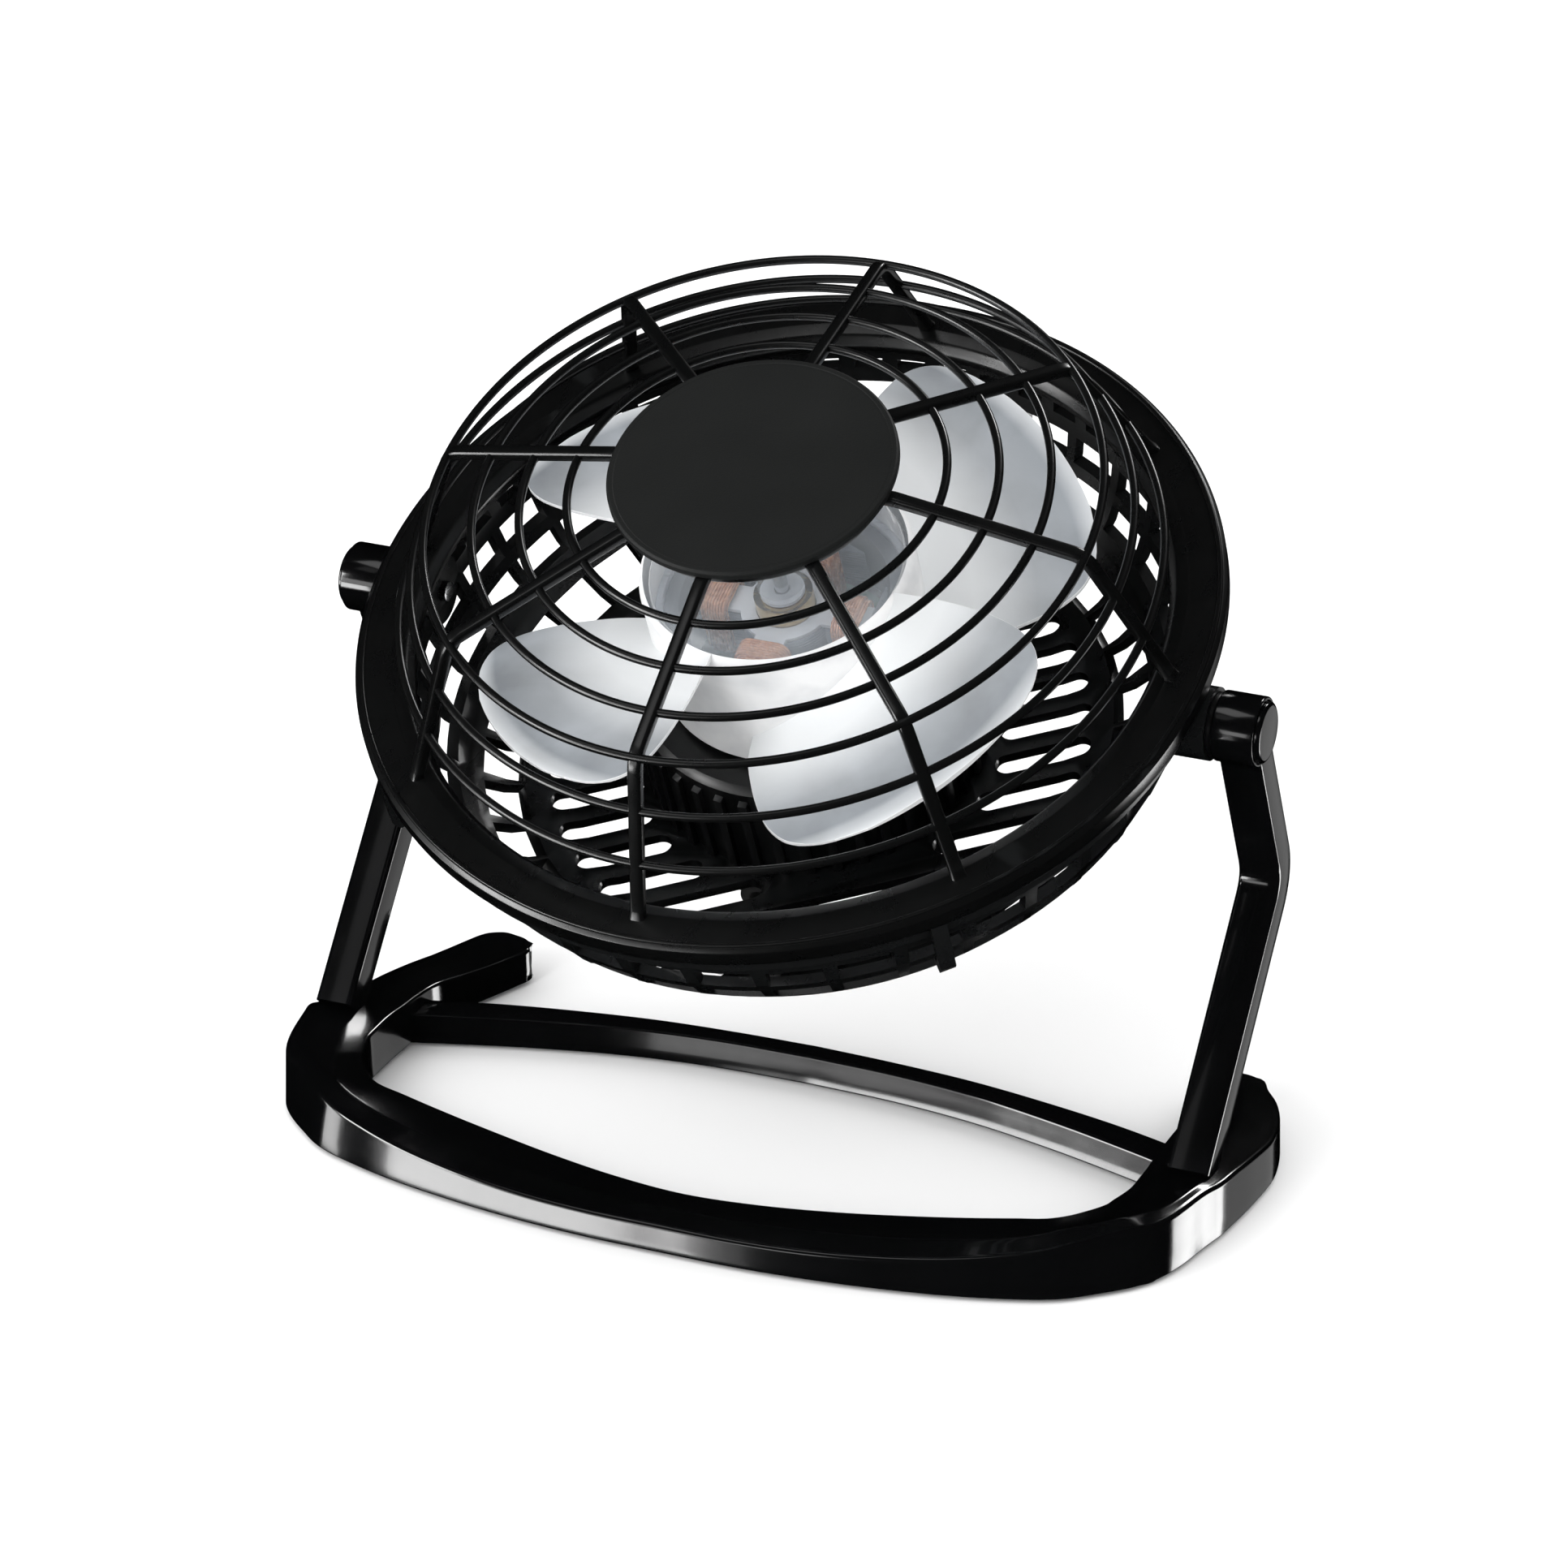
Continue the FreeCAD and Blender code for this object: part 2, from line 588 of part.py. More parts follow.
# narrow vents close under the rim, two rows of windows below them
sk = sketch_on(rw, "vent_side", "XZ_Plane")
polygon(sk, [(54.0, 0.1), (66.0, 0.1), (66.0, 1.7), (54.0, 1.7)])
v = pocket(rw, "vent", sk, "vent_width", both=True)
polar(rw, "vents", v, "vent_count")
WINDOWS = [[(50.0, -6.3), (66.0, -6.3), (66.0, -2.2), (50.0, -2.2)],
           [(46.0, -10.6), (60.0, -13.4), (62.0, -9.6), (48.0, -7.0)],
           [(41.6, -17.0), (47.4, -22.6), (51.6, -18.6), (46.0, -12.8)]]
for row, outline in enumerate(WINDOWS[:2]):
    sk = sketch_on(rw, "window_side_%d" % row, "XZ_Plane")
    polygon(sk, outline)
    v = pocket(rw, "window_%d" % row, sk, "window_width", both=True)
    polar(rw, "windows_%d" % row, v, "window_count")

rg = doc.addObject("PartDesign::Body", "basket_back")
sk = sketch_on(rg, "back_profile", "XZ_Plane")
polygon(sk, [("rear_eye", "rear_back"), (36.0, "rear_back"),
             (41.0, "rear_back + 0.7"), (46.0, "rear_back + 2.6"),
             (50.2, "rear_back + 5.6"), (JOIN_OUT, "basket_joint"),
             (JOIN_IN, "basket_joint"), (49.2, "rear_back + 6.9"),
             (45.2, "rear_back + 4.1"), (40.6, "rear_back + 2.3"),
             (36.0, "rear_back + rear_wall"),
             ("rear_eye", "rear_back + rear_wall")])
revolve(rg, "back", sk)
# the last row of windows, where the wall curves into the back
sk = sketch_on(rg, "window_side_2", "XZ_Plane")
polygon(sk, WINDOWS[2])
v = pocket(rg, "window_2", sk, "window_width - 1.1", both=True)
polar(rg, "windows_2", v, "window_count")
# straight slots across the back, broken by the ring that holds the motor
sk = sketch_on(rg, "back_slots", "XY_Plane",
               Placement(Vector(0, 0, -40), Rotation(Vector(0, 0, 1),
                                                     D["slot_angle"])))


def stadium(sk, xa, xb, yc, half):
    sk.addGeometry(Part.LineSegment(Vector(xa, yc + half, 0),
                                    Vector(xb, yc + half, 0)), False)
    sk.addGeometry(Part.LineSegment(Vector(xb, yc - half, 0),
                                    Vector(xa, yc - half, 0)), False)
    c = Part.Circle(Vector(xb, yc, 0), Vector(0, 0, 1), half)
    sk.addGeometry(Part.ArcOfCircle(c, -math.pi / 2, math.pi / 2), False)
    c = Part.Circle(Vector(xa, yc, 0), Vector(0, 0, 1), half)
    sk.addGeometry(Part.ArcOfCircle(c, math.pi / 2, 1.5 * math.pi), False)


half = D["slot_width"] / 2.0
clear = D["cover_radius"] + 1.4
for k in range(-6, 7):
    yc = k * D["slot_pitch"]
    reach = math.sqrt(max(D["slot_reach"] ** 2 - yc ** 2, 0))
    if reach < 9:
        continue
    if abs(yc) - half < clear:
        edge = abs(yc) - half if abs(yc) > half else 0.0
        lo = math.sqrt(clear ** 2 - edge ** 2)
        if reach - lo > 2 * half + 0.5:
            for s in (1, -1):
                a, b = sorted((s * (lo + half), s * (reach - half)))
                stadium(sk, a, b, yc, half)
    else:
        stadium(sk, -reach + half, reach - half, yc, half)
pocket(rg, "slots", sk, 60.0, reverse=True)
place_head(rg)
keep(rg, "basket_back")
# trunnions on the tilt axis
for s, nm in ((1, "right"), (-1, "left")):
    off = 55.4 if s > 0 else -D["trunnion_end"]
    sk = sketch_on(rw, "trunnion_%s_round" % nm, "YZ_Plane",
                   Placement(Vector(0, 0, off), Rotation()))
    circle(sk, 0, 0, "trunnion_radius")
    pad(rw, "trunnion_%s" % nm, sk, "trunnion_end - 55.4")
    sk = sketch_on(rw, "trunnion_%s_hole" % nm, "YZ_Plane",
                   Placement(Vector(0, 0, s * 50.0), Rotation()))
    circle(sk, 0, 0, 1.55)
    pocket(rw, "trunnion_%s_bore" % nm, sk, 20.0, reverse=(s > 0))
place_head(rw)
keep(rw, "basket_wall")

# ------------------------------------------------------------- motor housing
pod = doc.addObject("PartDesign::Body", "motor_housing")
sk = sketch_on(pod, "pod_profile", "XZ_Plane")
polygon(sk, [("tube_outer + 0.03", "pod_front"), ("pod_radius - 1.0", "pod_front"),
             ("pod_radius", "pod_front - 1.0"), ("pod_radius", -19.35),
             ("pod_radius - 1.6", -19.35), ("pod_radius - 1.6", "pod_front - 1.8"),
             (7.0, "pod_front - 1.8"), (7.0, -12.6), ("tube_outer + 0.03", -12.6)])
revolve(pod, "pod_turn", sk)
sk = sketch_on(pod, "pod_rib_side", "XZ_Plane")
polygon(sk, [("pod_radius - 0.6", "pod_front - 2.0"),
             ("pod_radius + 0.8", "pod_front - 2.6"),
             ("pod_radius + 0.8", -19.35), ("pod_radius - 0.6", -19.35)])
rib = pad(pod, "pod_rib", sk, 1.3, both=True)
polar(pod, "pod_ribs", rib, "pod_rib_count")
sk = sketch_on(pod, "screw_post_round", "XY_Plane",
               Placement(Vector(0, 0, -20.9), Rotation()))
circle(sk, 0, "screw_circle", 2.6)
post = pad(pod, "screw_post", sk, 17.0)
polar(pod, "screw_posts", post, 3)
sk = sketch_on(pod, "screw_pilot_round", "XY_Plane",
               Placement(Vector(0, 0, -22.0), Rotation()))
circle(sk, 0, "screw_circle", 1.05)
pil = pocket(pod, "screw_pilot", sk, 13.0, reverse=True)
polar(pod, "screw_pilots", pil, 3)
place_head(pod)
keep(pod, "motor_housing")

# back cover: a shallow dish with screw wells, switch slot and cable notch
cov = doc.addObject("PartDesign::Body", "rear_cover")
sk = sketch_on(cov, "cover_profile", "XZ_Plane")
polygon(sk, [(0, "cover_back"), ("cover_radius - 3.4", "cover_back"),
             ("cover_radius - 1.2", "cover_back + 0.7"),
             ("cover_radius - 0.2", "cover_back + 2.2"),
             ("cover_radius", "cover_back + 3.6"), ("cover_radius", -21.05),
             ("cover_radius - 1.7", -21.05),
             ("cover_radius - 1.8", "cover_back + 3.4"),
             ("cover_radius - 3.6", "cover_back + 1.6"),
             (0, "cover_back + 1.6")])
revolve(cov, "cover_turn", sk)
sk = sketch_on(cov, "well_round", "XY_Plane",
               Placement(Vector(0, 0, -28.0), Rotation()))
circle(sk, 0, "screw_circle", 3.6)
w = pad(cov, "well", sk, 6.9)
polar(cov, "wells", w, 3)
sk = sketch_on(cov, "well_head_round", "XY_Plane",
               Placement(Vector(0, 0, -30.0), Rotation()))
circle(sk, 0, "screw_circle", 2.5)
w = pocket(cov, "well_head", sk, 7.0, reverse=True)
polar(cov, "well_heads", w, 3)
sk = sketch_on(cov, "well_shank_round", "XY_Plane",
               Placement(Vector(0, 0, -30.0), Rotation()))
circle(sk, 0, "screw_circle", 1.4)
w = pocket(cov, "well_shank", sk, 12.0, reverse=True)
polar(cov, "well_shanks", w, 3)
sk = sketch_on(cov, "switch_slot", "XY_Plane",
               Placement(Vector(0, 0, -30.0), Rotation()))
polygon(sk, [(-4.6, -2.1), (4.6, -2.1), (4.6, 2.1), (-4.6, 2.1)])
pocket(cov, "switch_window", sk, 5.0, reverse=True)
sk = sketch_on(cov, "gland_round", "XZ_Plane",
               Placement(Vector(0, 0, 30.0), Rotation()))
circle(sk, 0, -24.4, 2.65)
pocket(cov, "gland_hole", sk, 14.0, reverse=False)
place_head(cov)
keep(cov, "rear_cover")

# cable inlet bush in the side of the cover (pointing down at rest)
gl = Part.makeCylinder(3.2, 1.4, Vector(0, -26.0, -24.4), Vector(0, 1, 0))
gl = gl.fuse(Part.makeCylinder(2.55, 6.4, Vector(0, -26.0, -24.4),
                               Vector(0, 1, 0)))
gl = gl.removeSplitter().cut(Part.makeCylinder(
    1.7, 12, Vector(0, -28.0, -24.4), Vector(0, 1, 0)))
# the flange follows the round wall it sits on
gl = gl.cut(Part.makeCylinder(D["cover_radius"] + 0.05, 30,
                              Vector(0, 0, -40)).cut(
    Part.makeCylinder(2.6, 30, Vector(0, -30, -24.4), Vector(0, 1, 0))))
feature("cable_gland", gl, head_placement())

# slide switch: body inside the cover, slider through its slot
sb = Part.makeBox(13.0, 6.4, 4.6, Vector(-6.5, -3.2, -26.3))
sb = sb.cut(Part.makeBox(7.9, 2.6, 2.2, Vector(-3.95, -1.3, -26.4)))
for sx in (-4.0, 0.0, 4.0):
    sb = sb.fuse(Part.makeBox(1.2, 0.4, 2.8, Vector(sx - 0.6, -0.2, -21.8)))
feature("switch_body", sb.removeSplitter(), head_placement())
tr = D["switch_travel"] / 2.0
sl = Part.makeBox(4.4, 2.2, 3.4, Vector(-2.2 - tr, -1.1, -29.0))
for i in range(4):
    sl = sl.cut(Part.makeBox(0.4, 3.0, 0.4, Vector(
        -1.75 - tr + i * 1.03, -1.5, -29.0)))
feature("switch_slider", sl.removeSplitter(), head_placement())

# screws through the cover into the housing
grp = []
for k in range(3):
    a = math.radians(90 + 120 * k)
    grp.append(screw(2.3, 1.5, 1.0, 9.6).transformGeometry(Placement(
        Vector(D["screw_circle"] * math.cos(a),
               D["screw_circle"] * math.sin(a), -24.55),
        Rotation(Vector(1, 0, 0), 180)).toMatrix()))
feature("cover_screws", Part.makeCompound(grp), head_placement())

# -------------------------------------------------------------------- stator
turned("bearing_tube", [("tube_bore", -12.4), ("tube_outer", -12.4),
                        ("tube_outer", 12.6), ("tube_bore", 12.6)])


def bush(name, lo, hi):
    body = doc.addObject("PartDesign::Body", name)
    s = sketch_on(body, name + "_profile", "XZ_Plane")
    polygon(s, [("shaft_radius + 0.04", lo), ("tube_bore - 0.02", lo),
                ("tube_bore - 0.02", hi), ("shaft_radius + 0.04", hi)])
    revolve(body, name + "_turn", s)
    place_head(body)
    return body


keep(bush("bush_rear", -9.6, -4.6), "bush_rear")
keep(bush("bush_front", 7.4, 12.4), "bush_front")

core = doc.addObject("PartDesign::Body", "stator_core")
sk = sketch_on(core, "core_round", "XY_Plane",
               Placement(Vector(0, 0, D["core_low"]), Rotation()))
sk.setExpression("AttachmentOffset.Base.z", "dims.core_low")
circle(sk, 0, 0, 6.6)
circle(sk, 0, 0, "tube_outer + 0.03")
pad(core, "core_eye", sk, "core_high - core_low")
sk = sketch_on(core, "pole_plan", "XY_Plane",
               Placement(Vector(0, 0, D["core_low"]), Rotation()))
sk.setExpression("AttachmentOffset.Base.z", "dims.core_low")
polygon(sk, [(6.0, -2.0), (12.3, -2.0), (12.3, -7.0), (12.55, -7.0),
             (13.9, -3.6), ("core_radius", 0), (13.9, 3.6), (12.55, 7.0),
             (12.3, 7.0), (12.3, 2.0), (6.0, 2.0)])
pole = pad(core, "pole", sk, "core_high - core_low")
polar(core, "poles", pole, 4)
place_head(core)
keep(core, "stator_core")

mid = (D["core_low"] + D["core_high"]) / 2.0
hh = (D["core_high"] - D["core_low"]) / 2.0
ins = []
for lo in (D["core_low"] - 0.75, D["core_high"] + 0.05):
    s = Part.makeCylinder(6.5, 0.7, Vector(0, 0, lo)).cut(
        Part.makeCylinder(D["tube_outer"] + 0.05, 0.7, Vector(0, 0, lo)))
    for k in range(4):
        b = Part.makeBox(7.4, 4.6, 0.7, Vector(5.2, -2.3, lo))
        b.rotate(Vector(), Vector(0, 0, 1), 90 * k)
        s = s.fuse(b)
    ins.append(s.removeSplitter())
feature("stator_insulators", Part.makeCompound(ins), head_placement())

coils = []
for k in range(4):
    c = Part.makeBox(4.3, 10.4, 2 * hh + 6.0, Vector(7.8, -5.2, mid - hh - 3))
    c = c.makeFillet(1.6, [e for e in c.Edges if abs(
        e.Vertexes[0].X - e.Vertexes[1].X) > 1])
    c = c.cut(Part.makeBox(8, 4.8, 2 * hh + 1.7, Vector(
        5, -2.4, mid - hh - 0.85)))
    c.rotate(Vector(), Vector(0, 0, 1), 90 * k)
    coils.append(c)
feature("stator_coils", Part.makeCompound(coils), head_placement())

pcb = Part.makeCylinder(15.4, 1.2, Vector(0, 0, -2.95)).cut(
    Part.makeCylinder(D["tube_outer"] + 0.1, 3, Vector(0, 0, -4)))
pcb = pcb.fuse(Part.makeBox(3.0, 3.4, 1.0, Vector(9.6, -1.7, -1.75)))
pcb = pcb.fuse(Part.makeCylinder(1.7, 1.6, Vector(-8.4, 4.6, -1.75)))
pcb = pcb.fuse(Part.makeBox(2.0, 1.2, 0.7, Vector(-6.5, -9.0, -1.75)))
feature("circuit_board", pcb.removeSplitter(), head_placement())

# --------------------------------------------------------------------- rotor
hub = doc.addObject("PartDesign::Body", "hub_turning")
sk = sketch_on(hub, "hub_profile", "XZ_Plane")
polygon(sk, [("hub_radius - 1.3", "hub_back"), ("hub_radius", "hub_back"),
             ("hub_radius", "hub_front - 2.6"),
             ("hub_radius - 0.8", "hub_front - 0.8"),
             ("hub_radius - 2.6", "hub_front"), (0, "hub_front"),
             (0, 20.2), ("shaft_radius + 0.01", 20.2),
             ("shaft_radius + 0.01", 14.2), (3.4, 14.2), (3.4, "hub_front - 1.6"),
             ("hub_radius - 3.0", "hub_front - 1.6"),
             ("hub_radius - 1.3", "hub_front - 3.2")])
revolve(hub, "hub_turn", sk)
place_head(hub)
doc.recompute()

# one blade: helical sections at growing radius, wide and round at the tip
BM, BP = D["blade_middle"], D["blade_pitch"]
TIP = D["blade_tip"]
SECTIONS = [(D["hub_radius"] - 0.7, -46.5, 33), (23.5, -44.5, 34.5),
            (29.0, -40.5, 35), (34.0, -37, 34.5), (38.5, -33.5, 33),
            (41.8, -29.5, 30), (43.8, -24, 25), (TIP, -14, 14)]


def blade_z(r, a):
    """Height of the blade's middle surface: a screw that flattens outward."""
    return BM + (BP - 0.001 * (r - 20.0)) * a


def blade_solid(n=11):
    """Two smooth skins over a grid of radius and angle, closed by strips."""
    top, low = [], []
    for r, a0, a1 in SECTIONS:
        trow, lrow = [], []
        for i in range(n):
            f = i / (n - 1.0)
            a = a0 + (a1 - a0) * f
            wall = D["blade_wall"] * (0.55 + 0.45 * math.sin(math.pi * f))
            x, y = r * math.cos(math.radians(a)), r * math.sin(math.radians(a))
            z = blade_z(r, a)
            trow.append(Vector(x, y, z + wall / 2))
            lrow.append(Vector(x, y, z - wall / 2))
        top.append(trow)
        low.append(lrow)
    skins = []
    for grid in (top, low):
        srf = Part.BSplineSurface()
        srf.interpolate(grid)
        skins.append(srf.toShape())
    strips = []
    for e in skins[0].Edges:
        mate = min(skins[1].Edges, key=lambda o: (
            o.CenterOfMass - e.CenterOfMass).Length)
        strips.append(Part.makeRuledSurface(e, mate))
    shell = Part.makeShell(skins + strips)
    shell.sewShape()
    solid = Part.makeSolid(shell)
    if solid.Volume < 0:
        solid.reverse()
    return solid


blade = blade_solid()
wheel = hub.Shape.copy()
wheel.Placement = Placement()
for k in range(4):
    b = blade.copy()
    b.rotate(Vector(), Vector(0, 0, 1), -40 + 90 * k)
    wheel = wheel.fuse(b)
feature("impeller", wheel, head_placement())

turned("flux_ring", [(17.15, 0.6), ("hub_radius - 1.35", 0.6),
                     ("hub_radius - 1.35", 12.4), (17.15, 12.4)])
turned("magnet_ring", [(14.95, 1.0), (17.1, 1.0), (17.1, 11.8), (14.95, 11.8)])
turned("shaft", [(0, -12.0), ("shaft_radius - 0.3", -12.0),
                 ("shaft_radius", -11.7), ("shaft_radius", -10.95),
                 ("shaft_radius - 0.3", -10.95), ("shaft_radius - 0.3", -10.35),
                 ("shaft_radius", -10.35), ("shaft_radius", 20.1),
                 (0, 20.1)])
clip = Part.makeCylinder(2.2, 0.5, Vector(0, 0, -10.9)).cut(
    Part.makeCylinder(0.72, 1, Vector(0, 0, -11.2))).cut(
    Part.makeBox(4, 1.0, 1, Vector(0, -0.5, -11.2)))
feature("shaft_clip", clip, head_placement())
turned("thrust_washer", [(1.15, 12.75), (3.2, 12.75), (3.2, 13.25),
                         (1.15, 13.25)])

doc.recompute()

# ------------------------------------------------------------ check and write
bad = []
for o in doc.Objects:
    if "Invalid" in o.State or "Error" in o.State:
        bad.append("%s state %s" % (o.Name, o.State))
for o, label in NODES:
    s = o.Shape
    if s.isNull() or not s.isValid() or not s.Solids:
        bad.append("%s shape" % label)
if bad:
    raise RuntimeError("; ".join(bad))
os.makedirs("parts", exist_ok=True)
box = FreeCAD.BoundBox()
for o, label in NODES:
    s = o.Shape
    box.add(s.BoundBox)
    print("%-18s solids %d faces %4d volume %9.1f" % (
        label, len(s.Solids), len(s.Faces), s.Volume))
    s.exportStep("parts/%s.step" % label)
print("nodes", len(NODES), "box", [round(v, 2) for v in (
    box.XMin, box.XMax, box.YMin, box.YMax, box.ZMin, box.ZMax)])
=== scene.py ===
import json
import math

import bmesh
import bpy
from mathutils import Matrix, Vector

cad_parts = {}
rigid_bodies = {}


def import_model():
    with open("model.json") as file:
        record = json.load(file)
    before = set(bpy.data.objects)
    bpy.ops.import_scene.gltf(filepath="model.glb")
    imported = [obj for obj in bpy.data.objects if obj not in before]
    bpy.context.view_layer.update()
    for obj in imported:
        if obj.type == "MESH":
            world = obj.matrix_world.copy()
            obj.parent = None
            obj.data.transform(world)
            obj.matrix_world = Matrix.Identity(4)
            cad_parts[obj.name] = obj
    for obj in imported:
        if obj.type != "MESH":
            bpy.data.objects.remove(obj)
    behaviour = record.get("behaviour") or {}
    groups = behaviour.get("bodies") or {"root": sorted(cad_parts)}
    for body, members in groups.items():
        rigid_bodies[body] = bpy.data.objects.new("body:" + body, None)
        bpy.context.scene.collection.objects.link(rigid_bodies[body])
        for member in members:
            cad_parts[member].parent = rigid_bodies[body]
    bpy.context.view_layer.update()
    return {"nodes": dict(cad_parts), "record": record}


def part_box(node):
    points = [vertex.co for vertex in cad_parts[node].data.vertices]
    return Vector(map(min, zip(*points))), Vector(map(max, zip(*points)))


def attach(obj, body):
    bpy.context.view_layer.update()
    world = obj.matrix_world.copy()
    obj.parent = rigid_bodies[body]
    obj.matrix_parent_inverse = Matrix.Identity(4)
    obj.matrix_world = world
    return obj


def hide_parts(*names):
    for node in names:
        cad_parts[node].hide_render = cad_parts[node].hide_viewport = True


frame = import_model()
MM = 0.001

# ------------------------------------------------------------------ the frame
JOINTS = {j["name"]: j for j in frame["record"]["behaviour"]["joints"]}
PIVOT = Vector(JOINTS["head_tilt"]["pos_m"])
AXIS = Vector(JOINTS["blade_spin"]["axis"]).normalized()
SIDE = Vector((1.0, 0.0, 0.0))
UPW = AXIS.cross(SIDE).normalized()
# head frame, in millimetres: X to the side, Z out of the front of the guard
HEAD = Matrix.Translation(PIVOT) @ Matrix((
    (SIDE.x, UPW.x, AXIS.x, 0.0), (SIDE.y, UPW.y, AXIS.y, 0.0),
    (SIDE.z, UPW.z, AXIS.z, 0.0), (0.0, 0.0, 0.0, 1.0))) @ Matrix.Scale(MM, 4)
# stand frame: millimetres, depths measured from the tilt axis
STAND = Matrix.Translation(Vector((0, PIVOT.y, 0))) @ Matrix.Scale(MM, 4)

# ------------------------------------------------------------------ materials
def new_mat(name):
    m = bpy.data.materials.new(name)
    m.use_nodes = True
    nt = m.node_tree
    return m, nt, nt.nodes["Principled BSDF"]


def noise(nt, scale, detail=4.0, rough=0.55, distortion=0.0, stretch=None):
    tc = nt.nodes.new("ShaderNodeTexCoord")
    mp = nt.nodes.new("ShaderNodeMapping")
    n = nt.nodes.new("ShaderNodeTexNoise")
    n.inputs["Scale"].default_value = scale
    n.inputs["Detail"].default_value = detail
    n.inputs["Roughness"].default_value = rough
    n.inputs["Distortion"].default_value = distortion
    if stretch:
        mp.inputs["Scale"].default_value = stretch
    nt.links.new(tc.outputs["Object"], mp.inputs["Vector"])
    nt.links.new(mp.outputs["Vector"], n.inputs["Vector"])
    return n


def ramp(nt, src, stops):
    r = nt.nodes.new("ShaderNodeValToRGB")
    el = r.color_ramp.elements
    while len(el) < len(stops):
        el.new(0.5)
    for e, (pos, col) in zip(el, stops):
        e.position = pos
        if isinstance(col, (int, float)):
            col = (col, col, col)
        e.color = (*col[:3], 1.0)
    nt.links.new(src, r.inputs["Fac"])
    return r


def mixed(nt, fac, a, b, kind="MIX"):
    m = nt.nodes.new("ShaderNodeMix")
    m.data_type = "RGBA"
    m.blend_type = kind
    for sock, v in ((0, fac), (6, a), (7, b)):
        if hasattr(v, "is_linked") or hasattr(v, "node"):
            nt.links.new(v, m.inputs[sock])
        elif sock == 0:
            m.inputs[0].default_value = v
        else:
            m.inputs[sock].default_value = (*v[:3], 1.0)
    return m.outputs[2]


def bump(nt, bsdf, layers):
    """layers: (height output, distance in metres, strength)"""
    prev = None
    for out, dist, strength in layers:
        b = nt.nodes.new("ShaderNodeBump")
        b.inputs["Distance"].default_value = dist
        b.inputs["Strength"].default_value = strength
        nt.links.new(out, b.inputs["Height"])
        if prev is not None:
            nt.links.new(prev, b.inputs["Normal"])
        prev = b.outputs["Normal"]
    nt.links.new(prev, bsdf.inputs["Normal"])


def convex_edge_lightening(nt, lo=0.53, hi=0.60):
    g = nt.nodes.new("ShaderNodeNewGeometry")
    return ramp(nt, g.outputs["Pointiness"], [(lo, 0.0), (hi, 1.0)])


def black_plastic(name, base, rough, coat, grain=0.25, peel=0.15, edge_lighten=0.5,
                  coat_rough=0.06):
    m, nt, b = new_mat(name)
    cloud = noise(nt, 55.0, 3.0)
    col = ramp(nt, cloud.outputs["Fac"], [
        (0.3, tuple(c * 0.78 for c in base)), (0.7, tuple(c * 1.2 for c in base))])
    fine = noise(nt, 2600.0, 2.0, 0.6)
    scuff = noise(nt, 260.0, 6.0, 0.65, 0.4, (1.0, 0.25, 1.0))
    # base colour lighter along convex edges, picked out by pointiness
    edge_lighten_mask = convex_edge_lightening(nt)
    c2 = mixed(nt, edge_lighten_mask.outputs["Color"], col.outputs["Color"],
               tuple(min(1.0, c * (1.0 + 2.2 * edge_lighten)) for c in base))
    nt.links.new(c2, b.inputs["Base Color"])
    rr = ramp(nt, scuff.outputs["Fac"], [(0.25, rough * 0.8),
                                         (0.6, rough * 1.05),
                                         (0.8, min(1.0, rough * 1.5))])
    nt.links.new(rr.outputs["Color"], b.inputs["Roughness"])
    b.inputs["Specular IOR Level"].default_value = 0.5
    b.inputs["IOR"].default_value = 1.52
    b.inputs["Coat Weight"].default_value = coat
    b.inputs["Coat Roughness"].default_value = coat_rough
    b.inputs["Coat IOR"].default_value = 1.5
    swell = noise(nt, 320.0, 2.0, 0.4)
    bump(nt, b, [(swell.outputs["Fac"], 0.00006, peel),
                 (fine.outputs["Fac"], 0.00003, grain)])
    return m


MAT = {}
MAT["stand"] = black_plastic("stand_gloss_black", (0.0017, 0.0018, 0.0020),
                             0.15, 0.35, grain=0.05, peel=0.08)
MAT["guard"] = black_plastic("guard_satin_black", (0.0021, 0.0023, 0.0024),
                             0.30, 0.18, grain=0.18, peel=0.22, edge_lighten=0.8,
                             coat_rough=0.18)
MAT["inner"] = black_plastic("inner_satin_black", (0.0024, 0.0026, 0.0027),
                             0.36, 0.10, grain=0.3, peel=0.25, edge_lighten=0.6,
                             coat_rough=0.25)
MAT["switch"] = black_plastic("switch_moulded", (0.016, 0.016, 0.017),
                              0.42, 0.0, grain=0.5, peel=0.1)


def matte_cap():
    m, nt, b = new_mat("cap_fine_matt")
    cloud = noise(nt, 40.0, 2.0)
    col = ramp(nt, cloud.outputs["Fac"], [(0.3, (0.0060, 0.0069, 0.0066)),
                                          (0.7, (0.0076, 0.0085, 0.0082))])
    nt.links.new(col.outputs["Color"], b.inputs["Base Color"])
    tex = nt.nodes.new("ShaderNodeTexVoronoi")
    tex.inputs["Scale"].default_value = 3400.0
    tc = nt.nodes.new("ShaderNodeTexCoord")
    nt.links.new(tc.outputs["Object"], tex.inputs["Vector"])
    fine = noise(nt, 5200.0, 2.0)
    rr = ramp(nt, cloud.outputs["Fac"], [(0.2, 0.56), (0.8, 0.66)])
    nt.links.new(rr.outputs["Color"], b.inputs["Roughness"])
    b.inputs["Specular IOR Level"].default_value = 0.32
    bump(nt, b, [(tex.outputs["Distance"], 0.00005, 0.35),
                 (fine.outputs["Fac"], 0.00002, 0.3)])
    return m


MAT["cap"] = matte_cap()


